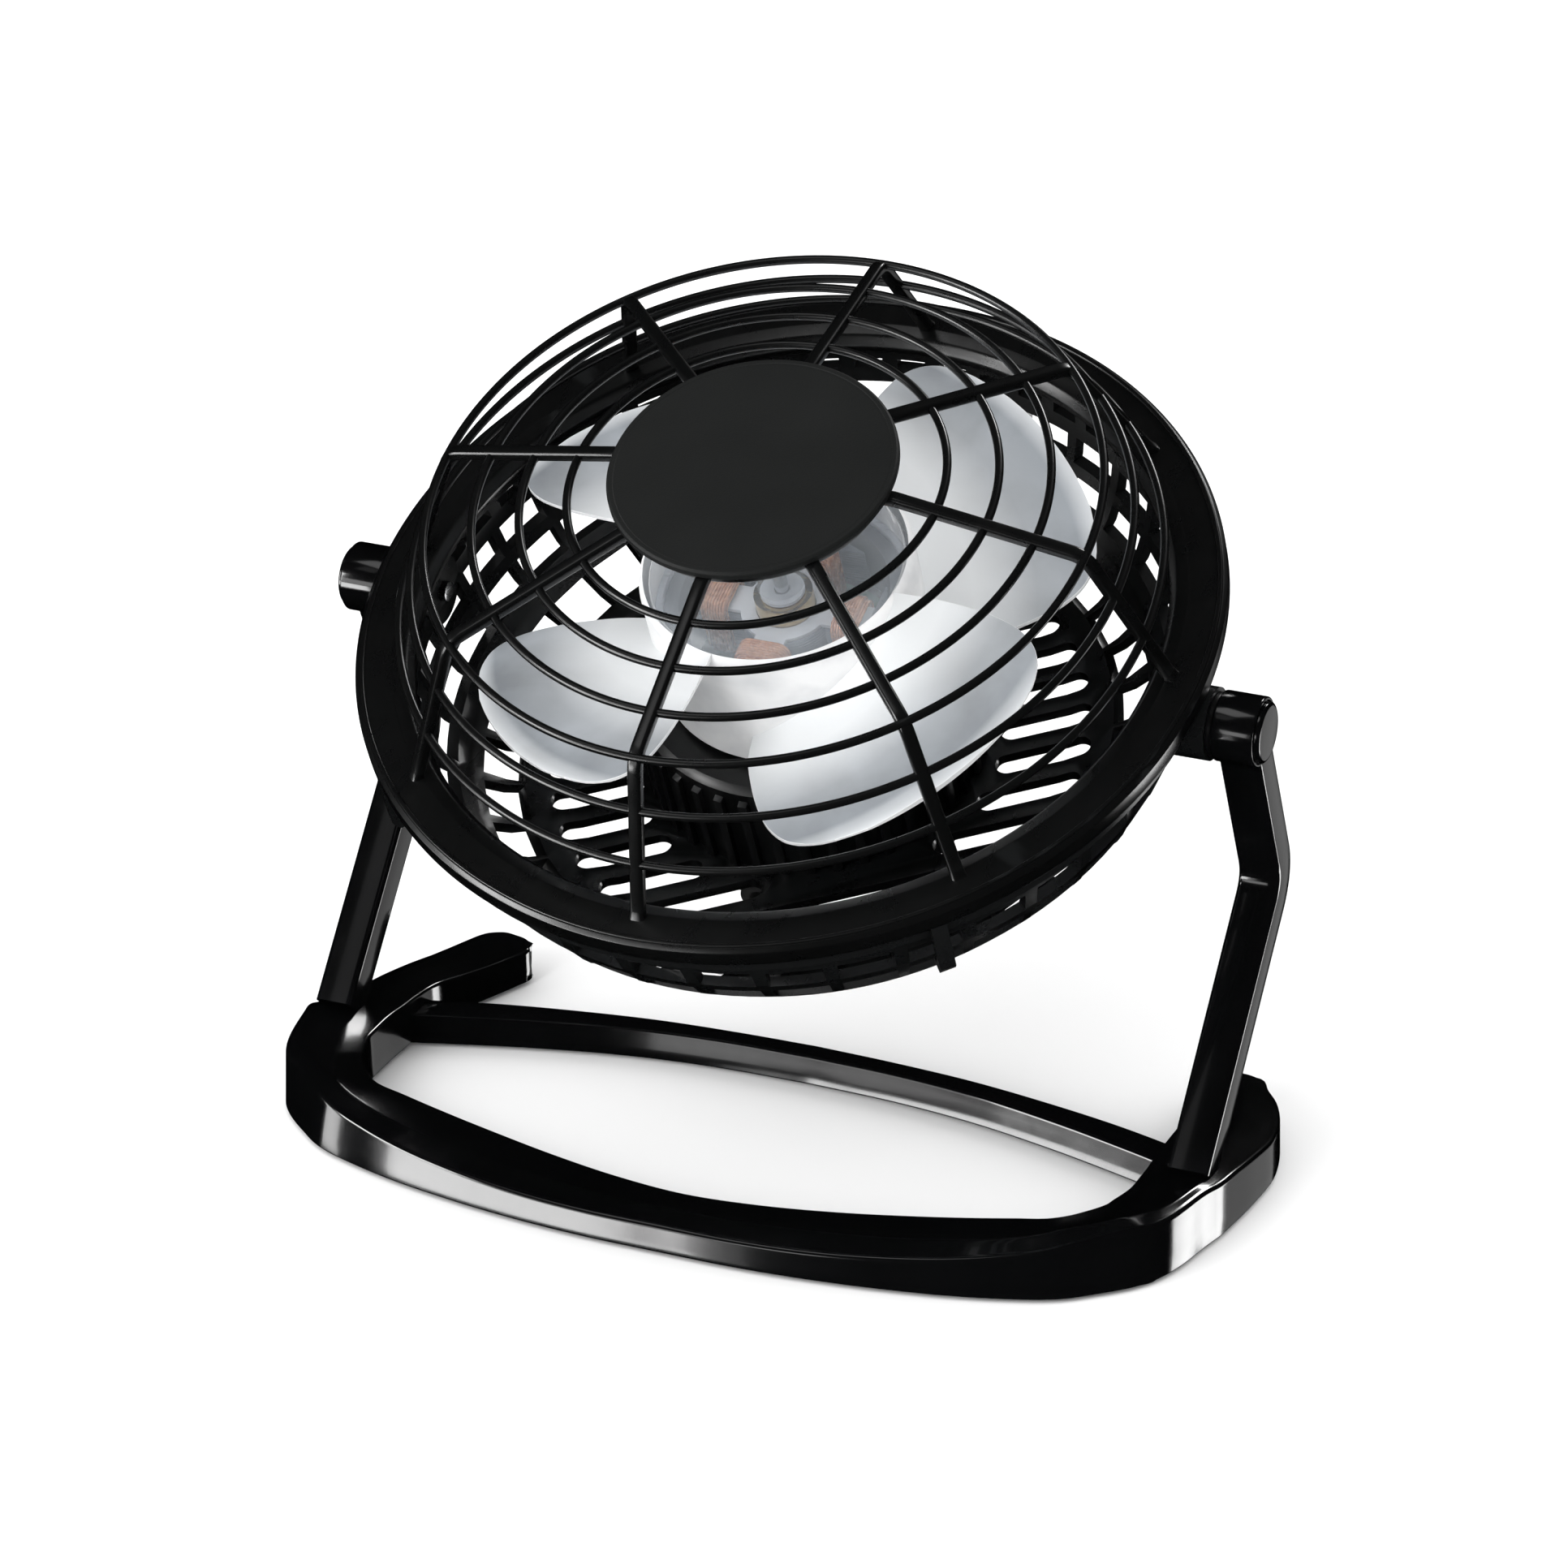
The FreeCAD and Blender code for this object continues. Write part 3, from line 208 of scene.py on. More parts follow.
def rubber(name, base):
    m, nt, b = new_mat(name)
    n = noise(nt, 900.0, 6.0, 0.7)
    col = ramp(nt, n.outputs["Fac"], [(0.3, tuple(c * 0.7 for c in base)),
                                      (0.75, tuple(c * 1.4 for c in base))])
    nt.links.new(col.outputs["Color"], b.inputs["Base Color"])
    rr = ramp(nt, n.outputs["Fac"], [(0.3, 0.62), (0.8, 0.8)])
    nt.links.new(rr.outputs["Color"], b.inputs["Roughness"])
    b.inputs["Specular IOR Level"].default_value = 0.3
    bump(nt, b, [(n.outputs["Fac"], 0.00008, 0.5)])
    return m


MAT["rubber"] = rubber("pad_soft_rubber", (0.018, 0.018, 0.018))


def metal(name, base, rough, stretch=(1.0, 1.0, 12.0), scale=420.0,
          spots=None, metallic=1.0, aniso=0.0):
    m, nt, b = new_mat(name)
    n = noise(nt, scale, 5.0, 0.6, 0.1, stretch)
    col = ramp(nt, n.outputs["Fac"], [(0.3, tuple(c * 0.8 for c in base)),
                                      (0.72, tuple(min(1, c * 1.1) for c in base))])
    out = col.outputs["Color"]
    if spots:
        s = noise(nt, 150.0, 6.0, 0.7)
        f = ramp(nt, s.outputs["Fac"], [(0.56, 0.0), (0.7, 1.0)])
        out = mixed(nt, f.outputs["Color"], out, spots)
    nt.links.new(out, b.inputs["Base Color"])
    rr = ramp(nt, n.outputs["Fac"], [(0.25, rough * 0.75), (0.8, rough * 1.35)])
    nt.links.new(rr.outputs["Color"], b.inputs["Roughness"])
    b.inputs["Metallic"].default_value = metallic
    b.inputs["Anisotropic"].default_value = aniso
    bump(nt, b, [(n.outputs["Fac"], 0.00002, 0.25)])
    return m


MAT["steel"] = metal("screw_zinc", (0.56, 0.57, 0.58), 0.28,
                     spots=(0.42, 0.43, 0.40))
MAT["shaft"] = metal("shaft_ground", (0.74, 0.75, 0.77), 0.14,
                     (1.0, 1.0, 30.0), 600.0)
MAT["flux"] = metal("flux_ring_rolled", (0.70, 0.74, 0.80), 0.32,
                    (1.0, 1.0, 22.0), metallic=0.35)
MAT["brass"] = metal("tube_turned_brass", (0.72, 0.52, 0.24), 0.24,
                     (1.0, 1.0, 26.0))
MAT["bronze"] = metal("bush_sintered", (0.46, 0.30, 0.16), 0.5,
                      (1.0, 1.0, 1.0), 1800.0, spots=(0.22, 0.15, 0.09))


def laminations():
    m, nt, b = new_mat("core_laminations")
    tc = nt.nodes.new("ShaderNodeTexCoord")
    dot = nt.nodes.new("ShaderNodeVectorMath")
    dot.operation = "DOT_PRODUCT"
    dot.inputs[1].default_value = tuple(AXIS)
    nt.links.new(tc.outputs["Object"], dot.inputs[0])
    mul = nt.nodes.new("ShaderNodeMath")
    mul.operation = "MULTIPLY"
    mul.inputs[1].default_value = 2000.0
    nt.links.new(dot.outputs["Value"], mul.inputs[0])
    fr = nt.nodes.new("ShaderNodeMath")
    fr.operation = "FRACT"
    nt.links.new(mul.outputs["Value"], fr.inputs[0])
    line = ramp(nt, fr.outputs["Value"], [(0.0, 0.0), (0.12, 1.0), (0.88, 1.0),
                                          (1.0, 0.0)])
    n = noise(nt, 500.0, 5.0)
    col = ramp(nt, n.outputs["Fac"], [(0.3, (0.24, 0.27, 0.33)),
                                      (0.75, (0.38, 0.42, 0.50))])
    c2 = mixed(nt, line.outputs["Color"], (0.05, 0.045, 0.04),
               col.outputs["Color"])
    nt.links.new(c2, b.inputs["Base Color"])
    b.inputs["Metallic"].default_value = 0.30
    b.inputs["Roughness"].default_value = 0.42
    bump(nt, b, [(line.outputs["Color"], 0.00006, 0.5)])
    return m


MAT["core"] = laminations()


def copper():
    m, nt, b = new_mat("coil_enamelled_copper")
    n = noise(nt, 700.0, 4.0)
    col = ramp(nt, n.outputs["Fac"], [(0.25, (0.74, 0.28, 0.11)),
                                      (0.75, (0.97, 0.47, 0.21))])
    nt.links.new(col.outputs["Color"], b.inputs["Base Color"])
    b.inputs["Metallic"].default_value = 0.30
    rr = ramp(nt, n.outputs["Fac"], [(0.3, 0.22), (0.8, 0.36)])
    nt.links.new(rr.outputs["Color"], b.inputs["Roughness"])
    b.inputs["Coat Weight"].default_value = 0.6
    b.inputs["Coat Roughness"].default_value = 0.12
    bump(nt, b, [(n.outputs["Fac"], 0.00002, 0.2)])
    return m


MAT["copper"] = copper()


def tinted(name, base, rough, bump_scale=1400.0, spec=0.5, sub=0.0):
    m, nt, b = new_mat(name)
    n = noise(nt, bump_scale, 4.0)
    c = noise(nt, 120.0, 3.0)
    col = ramp(nt, c.outputs["Fac"], [(0.3, tuple(v * 0.86 for v in base)),
                                      (0.7, tuple(min(1, v * 1.08) for v in base))])
    nt.links.new(col.outputs["Color"], b.inputs["Base Color"])
    rr = ramp(nt, n.outputs["Fac"], [(0.3, rough * 0.85), (0.8, rough * 1.2)])
    nt.links.new(rr.outputs["Color"], b.inputs["Roughness"])
    b.inputs["Specular IOR Level"].default_value = spec
    if sub:
        b.inputs["Subsurface Weight"].default_value = sub
        b.inputs["Subsurface Scale"].default_value = 0.001
    bump(nt, b, [(n.outputs["Fac"], 0.00003, 0.3)])
    return m


MAT["nylon"] = tinted("nylon_natural", (0.80, 0.84, 0.90), 0.42)
MAT["magnet"] = tinted("magnet_ferrite", (0.16, 0.17, 0.19), 0.55, 2200.0)
MAT["board"] = tinted("board_solder_mask", (0.03, 0.17, 0.085), 0.3, 500.0)


def frosted(name, base, trans, rough, grain, coat=0.0, root=None):
    m, nt, b = new_mat(name)
    cloud = noise(nt, 70.0, 4.0, 0.5, 0.3)
    fine = noise(nt, 1500.0, 3.0, 0.6)
    flow = noise(nt, 120.0, 3.0, 0.5, 0.6, (1.0, 3.0, 1.0))
    col = ramp(nt, cloud.outputs["Fac"], [
        (0.32, tuple(c * 0.74 for c in base)),
        (0.66, tuple(min(1.0, c * 1.22) for c in base))])
    out = col.outputs["Color"]
    if root:
        # painted highlight: paler towards the hub and again at the tip, by distance
        # from the spin axis
        tc = nt.nodes.new("ShaderNodeTexCoord")
        sub = nt.nodes.new("ShaderNodeVectorMath")
        sub.operation = "SUBTRACT"
        sub.inputs[1].default_value = tuple(PIVOT)
        nt.links.new(tc.outputs["Object"], sub.inputs[0])
        cross = nt.nodes.new("ShaderNodeVectorMath")
        cross.operation = "CROSS_PRODUCT"
        cross.inputs[1].default_value = tuple(AXIS)
        nt.links.new(sub.outputs["Vector"], cross.inputs[0])
        ln = nt.nodes.new("ShaderNodeVectorMath")
        ln.operation = "LENGTH"
        nt.links.new(cross.outputs["Vector"], ln.inputs[0])
        mr = nt.nodes.new("ShaderNodeMapRange")
        mr.inputs["From Min"].default_value = 0.019
        mr.inputs["From Max"].default_value = 0.045
        nt.links.new(ln.outputs["Value"], mr.inputs["Value"])
        painted_hub_light = ramp(nt, mr.outputs["Result"], [(0.0, 1.0), (0.28, 0.85),
                                               (0.62, 0.15), (0.88, 0.0),
                                               (1.0, 0.60)])
        out = mixed(nt, painted_hub_light.outputs["Color"], out, root)
    nt.links.new(out, b.inputs["Base Color"])
    rr = ramp(nt, flow.outputs["Fac"], [(0.3, rough * 0.8), (0.75, rough * 1.25)])
    nt.links.new(rr.outputs["Color"], b.inputs["Roughness"])
    b.inputs["Transmission Weight"].default_value = trans
    b.inputs["IOR"].default_value = 1.49
    b.inputs["Coat Weight"].default_value = coat
    b.inputs["Coat Roughness"].default_value = 0.15
    bump(nt, b, [(flow.outputs["Fac"], 0.0001, 0.10),
                 (fine.outputs["Fac"], 0.00003, grain)])
    return m


# the near-white root colour is a painted highlight on the blades near the hub and at
# the tips
MAT["blade"] = frosted("blade_frosted", (0.285, 0.307, 0.332), 0.14, 0.36, 0.35,
                       0.2, root=(0.95, 0.97, 0.98))
# painted highlight: a near-white frosted colour laid on the blade edges and tips
MAT["blade_edge"] = frosted("blade_painted_edge_highlight", (0.95, 0.97, 0.99), 0.10,
                            0.25, 0.1, 0.3)
MAT["band"] = frosted("hub_frosted_band", (0.93, 0.95, 0.97), 0.06, 0.50,
                      0.10, 0.0)
MAT["clear"] = frosted("hub_clear", (0.72, 0.78, 0.88), 0.0, 0.14, 0.03, 0.0)
MAT["clear"].node_tree.nodes["Principled BSDF"].inputs[
    "Alpha"].default_value = 0.17


# ------------------------------------------------------------- mesh building
def build(name, verts, faces, world=None, mats=("guard",), face_mat=None,
          smooth=35.0, body="head", weld=None):
    me = bpy.data.meshes.new(name)
    vv = [tuple(world @ Vector(v)) if world is not None else tuple(v)
          for v in verts]
    me.from_pydata(vv, [], faces)
    me.validate()
    o = bpy.data.objects.new(name, me)
    bpy.context.collection.objects.link(o)
    for k in mats:
        me.materials.append(MAT[k])
    bm = bmesh.new()
    bm.from_mesh(me)
    if face_mat is not None:
        bm.faces.ensure_lookup_table()
        for f, k in zip(bm.faces, face_mat):
            f.material_index = k
    if weld:
        bmesh.ops.remove_doubles(bm, verts=bm.verts, dist=weld)
    bmesh.ops.recalc_face_normals(bm, faces=bm.faces)
    for f in bm.faces:
        f.smooth = True
    lim = math.radians(smooth)
    for e in bm.edges:
        if len(e.link_faces) == 2 and e.calc_face_angle(0.0) > lim:
            e.smooth = False
    bm.to_mesh(me)
    bm.free()
    me.update()
    if body:
        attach(o, body)
    return o


def fillet(points, radii, seg=4, closed=True):
    """Round the corners of an outline with true arcs."""
    n = len(points)
    out = []
    for i in range(n):
        p = Vector(points[i])
        r = radii[i] if isinstance(radii, (list, tuple)) else radii
        if not closed and i in (0, n - 1):
            out.append(tuple(p))
            continue
        a = Vector(points[(i - 1) % n]) - p
        b = Vector(points[(i + 1) % n]) - p
        la, lb = a.length, b.length
        if r <= 0 or la < 1e-9 or lb < 1e-9:
            out.append(tuple(p))
            continue
        ang = a.angle(b)
        if ang > math.pi - 0.03:
            out.append(tuple(p))
            continue
        t = r / math.tan(ang / 2)
        t = min(t, 0.49 * la, 0.49 * lb)
        r2 = t * math.tan(ang / 2)
        a.normalize()
        b.normalize()
        c = p + (a + b).normalized() * (r2 / math.sin(ang / 2))
        s, e = p + a * t - c, p + b * t - c
        tot = s.angle(e)
        for k in range(seg + 1):
            f = k / seg
            w = (s * math.sin((1 - f) * tot) + e * math.sin(f * tot)) / math.sin(tot)
            out.append(tuple(c + w))
    return out


def lathe_data(profile, segs=128, closed=True, a0=0.0):
    """Rings of vertices about local Z; points on the axis are shared."""
    verts, idx = [], []
    for r, z in profile:
        if abs(r) < 1e-7:
            verts.append((0, 0, z))
            idx.append([len(verts) - 1] * segs)
        else:
            row = []
            for k in range(segs):
                a = a0 + 2 * math.pi * k / segs
                verts.append((r * math.cos(a), r * math.sin(a), z))
                row.append(len(verts) - 1)
            idx.append(row)
    faces = []
    n = len(profile)
    for i in range(n if closed else n - 1):
        r0, r1 = idx[i], idx[(i + 1) % n]
        for k in range(segs):
            q = [r0[k], r0[(k + 1) % segs], r1[(k + 1) % segs], r1[k]]
            u = []
            for v in q:
                if v not in u:
                    u.append(v)
            if len(u) >= 3:
                faces.append(u)
    return verts, faces


def move(verts, m):
    return [tuple(m @ Vector(v)) for v in verts]


class Bag:
    """Collects several closed shells into one object."""

    def __init__(self):
        self.v, self.f, self.m = [], [], []

    def add(self, verts, faces, mat=0, m=None):
        off = len(self.v)
        self.v += move(verts, m) if m is not None else list(verts)
        self.f += [[i + off for i in f] for f in faces]
        self.m += [mat] * len(faces)

    def object(self, name, world, mats, body, smooth=35.0, weld=None):
        return build(name, self.v, self.f, world, mats, self.m, smooth, body,
                     weld)


def sweep(path, section, up=None, closed_path=False, scale=None, cap=True):
    """Carry a closed 2-D outline along a path of points."""
    n = len(path)
    P = [Vector(p) for p in path]
    verts, rows = [], []
    last = Vector(up) if up is not None else Vector((0, 0, 1))
    for i in range(n):
        if closed_path:
            t = (P[(i + 1) % n] - P[(i - 1) % n])
        elif i == 0:
            t = P[1] - P[0]
        elif i == n - 1:
            t = P[-1] - P[-2]
        else:
            t = (P[i + 1] - P[i]).normalized() + (P[i] - P[i - 1]).normalized()
        t.normalize()
        u = last - t * last.dot(t)
        u.normalize()
        s = t.cross(u)
        if up is None:
            last = u
        k = scale[i] if scale else 1.0
        row = []
        for x, y in section:
            verts.append(tuple(P[i] + s * x * k + u * y * k))
            row.append(len(verts) - 1)
        rows.append(row)
    faces = []
    m = len(section)
    for i in range(n if closed_path else n - 1):
        a, b = rows[i], rows[(i + 1) % n]
        for j in range(m):
            faces.append([a[j], a[(j + 1) % m], b[(j + 1) % m], b[j]])
    if not closed_path and cap:
        faces.append(list(reversed(rows[0])))
        faces.append(rows[-1])
    return verts, faces


def round_rect(w, h, r, seg=4):
    return fillet([(-w / 2, -h / 2), (w / 2, -h / 2), (w / 2, h / 2),
                   (-w / 2, h / 2)], r, seg)


def circle2(r, n=12):
    return [(r * math.cos(2 * math.pi * k / n), r * math.sin(2 * math.pi * k / n))
            for k in range(n)]


def rotz(deg):
    return Matrix.Rotation(math.radians(deg), 4, "Z")


def catmull(points, per=12, closed=False):
    out = []
    n = len(points)
    P = [Vector(p) for p in points]
    rng = range(n) if closed else range(n - 1)
    for i in rng:
        if closed:
            p0, p1, p2, p3 = P[(i - 1) % n], P[i], P[(i + 1) % n], P[(i + 2) % n]
        else:
            p1, p2 = P[i], P[i + 1]
            p0 = P[i - 1] if i > 0 else p1 + (p1 - p2)
            p3 = P[i + 2] if i + 2 < n else p2 + (p2 - p1)
        # centripetal parameters keep uneven points smooth
        t0 = 0.0
        t1 = t0 + max((p1 - p0).length, 1e-6) ** 0.5
        t2 = t1 + max((p2 - p1).length, 1e-6) ** 0.5
        t3 = t2 + max((p3 - p2).length, 1e-6) ** 0.5
        for k in range(per):
            t = t1 + (t2 - t1) * k / per
            a1 = p0 * ((t1 - t) / (t1 - t0)) + p1 * ((t - t0) / (t1 - t0))
            a2 = p1 * ((t2 - t) / (t2 - t1)) + p2 * ((t - t1) / (t2 - t1))
            a3 = p2 * ((t3 - t) / (t3 - t2)) + p3 * ((t - t2) / (t3 - t2))
            b1 = a1 * ((t2 - t) / (t2 - t0)) + a2 * ((t - t0) / (t2 - t0))
            b2 = a2 * ((t3 - t) / (t3 - t1)) + a3 * ((t - t1) / (t3 - t1))
            out.append(b1 * ((t2 - t) / (t2 - t1)) + b2 * ((t - t1) / (t2 - t1)))
    if not closed:
        out.append(P[-1])
    return out


def smoothstep(a, b, x):
    t = min(1.0, max(0.0, (x - a) / (b - a)))
    return t * t * (3 - 2 * t)


# ------------------------------------------------------------------ the base
# stations along one half of the open loop, from the middle of the front bow
# to the tip of the foot: outer edge, crest of the top, inner edge (x, depth)
# and the heights of the three
BOW = [
    # outer          crest           inner           outer crest inner
    ((0.0, -51.4), (0.0, -45.8), (0.0, -40.3), 4.0, 4.3, 4.0),
    ((11.7, -51.3), (11.3, -45.3), (10.4, -39.3), 4.0, 4.3, 4.0),
    ((23.4, -50.4), (22.4, -44.2), (20.6, -37.5), 4.2, 4.6, 4.2),
    ((34.8, -48.7), (33.2, -42.8), (30.8, -35.6), 4.8, 5.2, 4.8),
    ((42.0, -47.2), (40.2, -42.0), (38.6, -34.4), 5.4, 6.0, 5.6),
    ((49.0, -45.2), (47.2, -41.2), (46.4, -33.2), 6.2, 7.2, 6.6),
    ((56.1, -42.4), (54.2, -38.8), (52.3, -31.8), 7.3, 8.6, 7.3),
    ((57.0, -41.9), (55.1, -38.2), (53.0, -31.2), 7.5, 8.8, 7.3),
    ((61.0, -38.7), (58.8, -35.4), (55.2, -28.9), 8.2, 9.1, 7.4),
    ((65.1, -34.8), (62.2, -32.2), (56.9, -26.4), 8.8, 9.3, 7.4),
    ((65.9, -33.8), (63.0, -31.4), (57.2, -25.8), 8.9, 9.3, 7.4),
    ((68.0, -29.9), (65.8, -28.6), (58.0, -23.4), 8.9, 9.4, 7.4),
    ((68.5, -28.5), (66.4, -27.6), (58.3, -22.3), 8.9, 9.4, 7.4),
    ((70.7, -18.6), (68.6, -18.2), (58.8, -16.4), 8.7, 9.2, 7.4),
    ((71.1, -17.0), (68.7, -16.4), (58.8, -14.6), 8.5, 9.0, 7.4),
]
LEFT_FOOT = [
    ((71.6, -11.1), (66.8, -10.4), (58.6, -9.2), 6.2, 8.2, 7.0),
    ((71.8, -4.2), (65.2, -4.2), (58.5, -4.2), 4.2, 7.8, 6.6),
    ((71.4, 1.9), (63.9, 1.8), (58.0, 0.8), 3.0, 7.3, 6.1),
    ((70.4, 6.8), (62.6, 6.9), (56.3, 5.0), 2.6, 6.8, 5.7),
    ((68.6, 12.0), (61.1, 12.4), (54.5, 9.0), 2.4, 6.3, 5.4),
    ((66.3, 16.6), (60.1, 16.8), (53.0, 12.6), 2.4, 5.9, 5.2),
    ((63.8, 20.0), (59.2, 19.8), (51.9, 15.2), 2.8, 5.6, 5.1),
    ((61.0, 22.0), (57.9, 20.9), (51.2, 16.9), 4.0, 5.5, 5.1),
    ((58.4, 22.9), (56.5, 21.3), (51.0, 17.8), 4.8, 5.5, 5.2),
    ((55.8, 22.7), (54.9, 21.1), (51.0, 18.4), 5.1, 5.45, 5.2),
    ((53.6, 21.6), (53.2, 20.7), (51.3, 19.0), 5.2, 5.4, 5.25),
    ((52.4, 20.4), (52.2, 20.1), (51.7, 19.5), 5.2, 5.3, 5.25),
]
RIGHT_FOOT = [
    ((71.9, -11.1), (67.5, -10.4), (58.7, -9.2), 8.1, 8.7, 7.5),
    ((72.5, -4.2), (67.0, -4.2), (58.7, -4.2), 7.4, 8.3, 7.5),
    ((72.6, 1.9), (66.6, 1.8), (58.6, 0.8), 6.7, 7.8, 7.3),
    ((71.7, 6.8), (65.4, 6.9), (58.0, 5.2), 6.2, 7.2, 6.9),
    ((70.0, 12.0), (64.0, 12.2), (57.2, 9.2), 5.8, 6.7, 6.5),
    ((67.8, 16.4), (62.4, 16.5), (56.4, 12.8), 5.5, 6.3, 6.1),
    ((65.6, 19.6), (61.2, 19.4), (55.9, 15.8), 5.4, 6.0, 5.9),
    ((63.8, 22.2), (60.2, 20.9), (55.5, 17.6), 5.4, 5.8, 5.7),
    ((60.9, 23.0), (58.9, 21.3), (55.4, 18.4), 5.4, 5.7, 5.6),
    ((58.6, 22.8), (57.6, 21.2), (55.5, 19.0), 5.4, 5.6, 5.5),
    ((56.9, 21.7), (56.6, 20.9), (55.7, 19.5), 5.35, 5.5, 5.45),
    ((56.0, 20.6), (55.9, 20.4), (55.7, 19.9), 5.3, 5.4, 5.35),
]
STEPS = [8, 8, 8, 6, 6, 5, 2, 4, 4, 2, 4, 2, 7, 2, 5, 5, 5, 4, 4, 4, 4, 4, 4,
         4, 3, 2]


def stations(foot):
    """Dense stations for one half, splined between the listed ones."""
    rows = [[o[0], o[1], c[0], c[1], i[0], i[1], a, b, d]
            for o, c, i, a, b, d in BOW + foot]
    mirror = [-rows[1][0], rows[1][1], -rows[1][2], rows[1][3], -rows[1][4],
              rows[1][5]] + rows[1][6:]
    ext = [mirror] + rows + [[2 * p - q for p, q in zip(rows[-1], rows[-2])]]
    out = []
    for k in range(1, len(ext) - 2):
        p0, p1, p2, p3 = ext[k - 1], ext[k], ext[k + 1], ext[k + 2]

        def dist(u, v):
            return max(math.hypot(u[0] - v[0], u[1] - v[1]), 0.2)
        d0, d1, d2 = dist(p0, p1), dist(p1, p2), dist(p2, p3)
        n = STEPS[k - 1]
        for q in range(n):
            t = q / n
            vals = []
            for a, b, c, d in zip(p0, p1, p2, p3):
                m1 = ((b - a) / d0 * d1 + (c - b) / d1 * d0) / (d0 + d1) * d1
                m2 = ((c - b) / d1 * d2 + (d - c) / d2 * d1) / (d1 + d2) * d1
                h00 = 2 * t ** 3 - 3 * t ** 2 + 1
                h10 = t ** 3 - 2 * t ** 2 + t
                h01 = -2 * t ** 3 + 3 * t ** 2
                h11 = t ** 3 - t ** 2
                vals.append(h00 * b + h10 * m1 + h01 * c + h11 * m2)
            out.append(vals)
    out.append(rows[-1])
    return out


def wall_profile(base, out, h, lean, r, z0):
    """Points from the bottom edge of a wall to the end of its round top."""
    pts = []
    for dz, ins in ((0.0, 0.35), (0.12, 0.12), (0.35, 0.0)):
        pts.append(base - out * (ins + lean * dz) + Vector((0, 0, z0 + dz)))
    for f in (0.35, 0.7):
        z = 0.35 + (h - r - 0.35) * f
        pts.append(base - out * lean * z + Vector((0, 0, z0 + z)))
    for k in range(6):
        a = k / 5 * math.pi / 2
        z = h - r + r * math.sin(a)
        pts.append(base - out * (lean * (h - r) + r * (1 - math.cos(a)))
                   + Vector((0, 0, z0 + z)))
    return pts


def strip(rows, name_lift, lean_out=0.20, lean_in=0.06, soft=0.7):
    """Closed skin over a row of stations; each end is closed by a face."""
    outer = [Vector((r[0], r[1], 0)) for r in rows]
    crest = [Vector((r[2], r[3], 0)) for r in rows]
    inner = [Vector((r[4], r[5], 0)) for r in rows]
    n = len(rows)

    def side(loop, i, ref):
        a, b = loop[max(i - 1, 0)], loop[min(i + 1, n - 1)]
        t = (b - a)
        if t.length < 1e-6:
            t = Vector((1, 0, 0))
        t.normalize()
        nrm = Vector((t.y, -t.x, 0))
        if nrm.dot(loop[i] - ref[i]) < 0:
            nrm = -nrm
        return nrm
    grid = []
    for i in range(n):
        ho, hc, hi = rows[i][6:9]
        width = (outer[i] - inner[i]).length
        r = min(soft, 0.24 * min(ho, hi), 0.28 * width)
        lo = min(lean_out, 0.25 * width / max(ho, 1))
        no, ni = side(outer, i, inner), side(inner, i, outer)
        # the bow leans in, the sides stand almost upright
        lo *= 0.15 + 0.85 * smoothstep(0.45, 0.85, abs(no.y))
        a = wall_profile(inner[i], ni, hi, min(lean_in, lo), r * 0.8,
                         name_lift)
        b = wall_profile(outer[i], no, ho, lo, r, name_lift)
        top_i, top_o = a[-1], b[-1]
        c = crest[i] + Vector((0, 0, name_lift + hc))
        mid = []
        for f in (0.25, 0.5, 0.75):
            q = top_i.lerp(c, f)
            q.z += 0.05 * math.sin(math.pi * f)
            mid.append(q)
        # a small round over the crest
        e1, e2 = top_i.lerp(c, 0.90), c.lerp(top_o, 0.10)
        for f in (0.0, 0.33, 0.67, 1.0):
            mid.append(e1.lerp(c, f).lerp(c.lerp(e2, f), f))
        for f in (0.35, 0.65, 0.9):
            mid.append(c.lerp(top_o, f))
        under = [b[0].lerp(a[0], f) for f in (0.25, 0.5, 0.75)]
        grid.append(a + mid + list(reversed(b)) + under)
    m = len(grid[0])
    verts = [tuple(v) for g in grid for v in g]
    faces = []
    for i in range(n - 1):
        for j in range(m):
            faces.append([i * m + j, i * m + (j + 1) % m,
                          (i + 1) * m + (j + 1) % m, (i + 1) * m + j])
    faces.append(list(range(m)))
    faces.append(list(reversed(range((n - 1) * m, n * m))))
    return verts, faces


def base_piece():
    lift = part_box("base_loop")[0][2] / MM          # height of its underside
    right = stations(RIGHT_FOOT)
    left = [[-r[0], r[1], -r[2], r[3], -r[4], r[5]] + r[6:]
            for r in stations(LEFT_FOOT)]
    bag = Bag()
    bag.add(*strip(list(reversed(left[1:])) + right, lift))
    # the bar across the back runs into the two side blocks
    front = catmull([(0, 3.1, 0), (14, 2.6, 0), (27, 1.0, 0), (40.5, -2.1, 0),
                     (52, -5.5, 0), (60.5, -8.3, 0)], 9)
    rear = catmull([(0, 7.9, 0), (12, 7.5, 0), (25, 6.5, 0), (38.4, 4.3, 0),
                    (49.3, 1.9, 0), (60.5, -1.4, 0)], 9)
    half = []
    for p, q in zip(front, rear):
        half.append([p.x, p.y, p.x * 0.4 + q.x * 0.6, p.y * 0.4 + q.y * 0.6,
                     q.x, q.y, 4.15, 4.35, 4.2])
    other = [[-r[0], r[1], -r[2], r[3], -r[4], r[5]] + r[6:] for r in half]
    bag.add(*strip(list(reversed(other[1:])) + half, lift, 0.30, 0.04, 0.5))
    o = bag.object("base_shell", STAND, ("stand",), "stand", 40.0)
    wn = o.modifiers.new("flat_faces", "WEIGHTED_NORMAL")
    wn.keep_sharp = True
    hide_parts("base_loop")
    return o


base_piece()


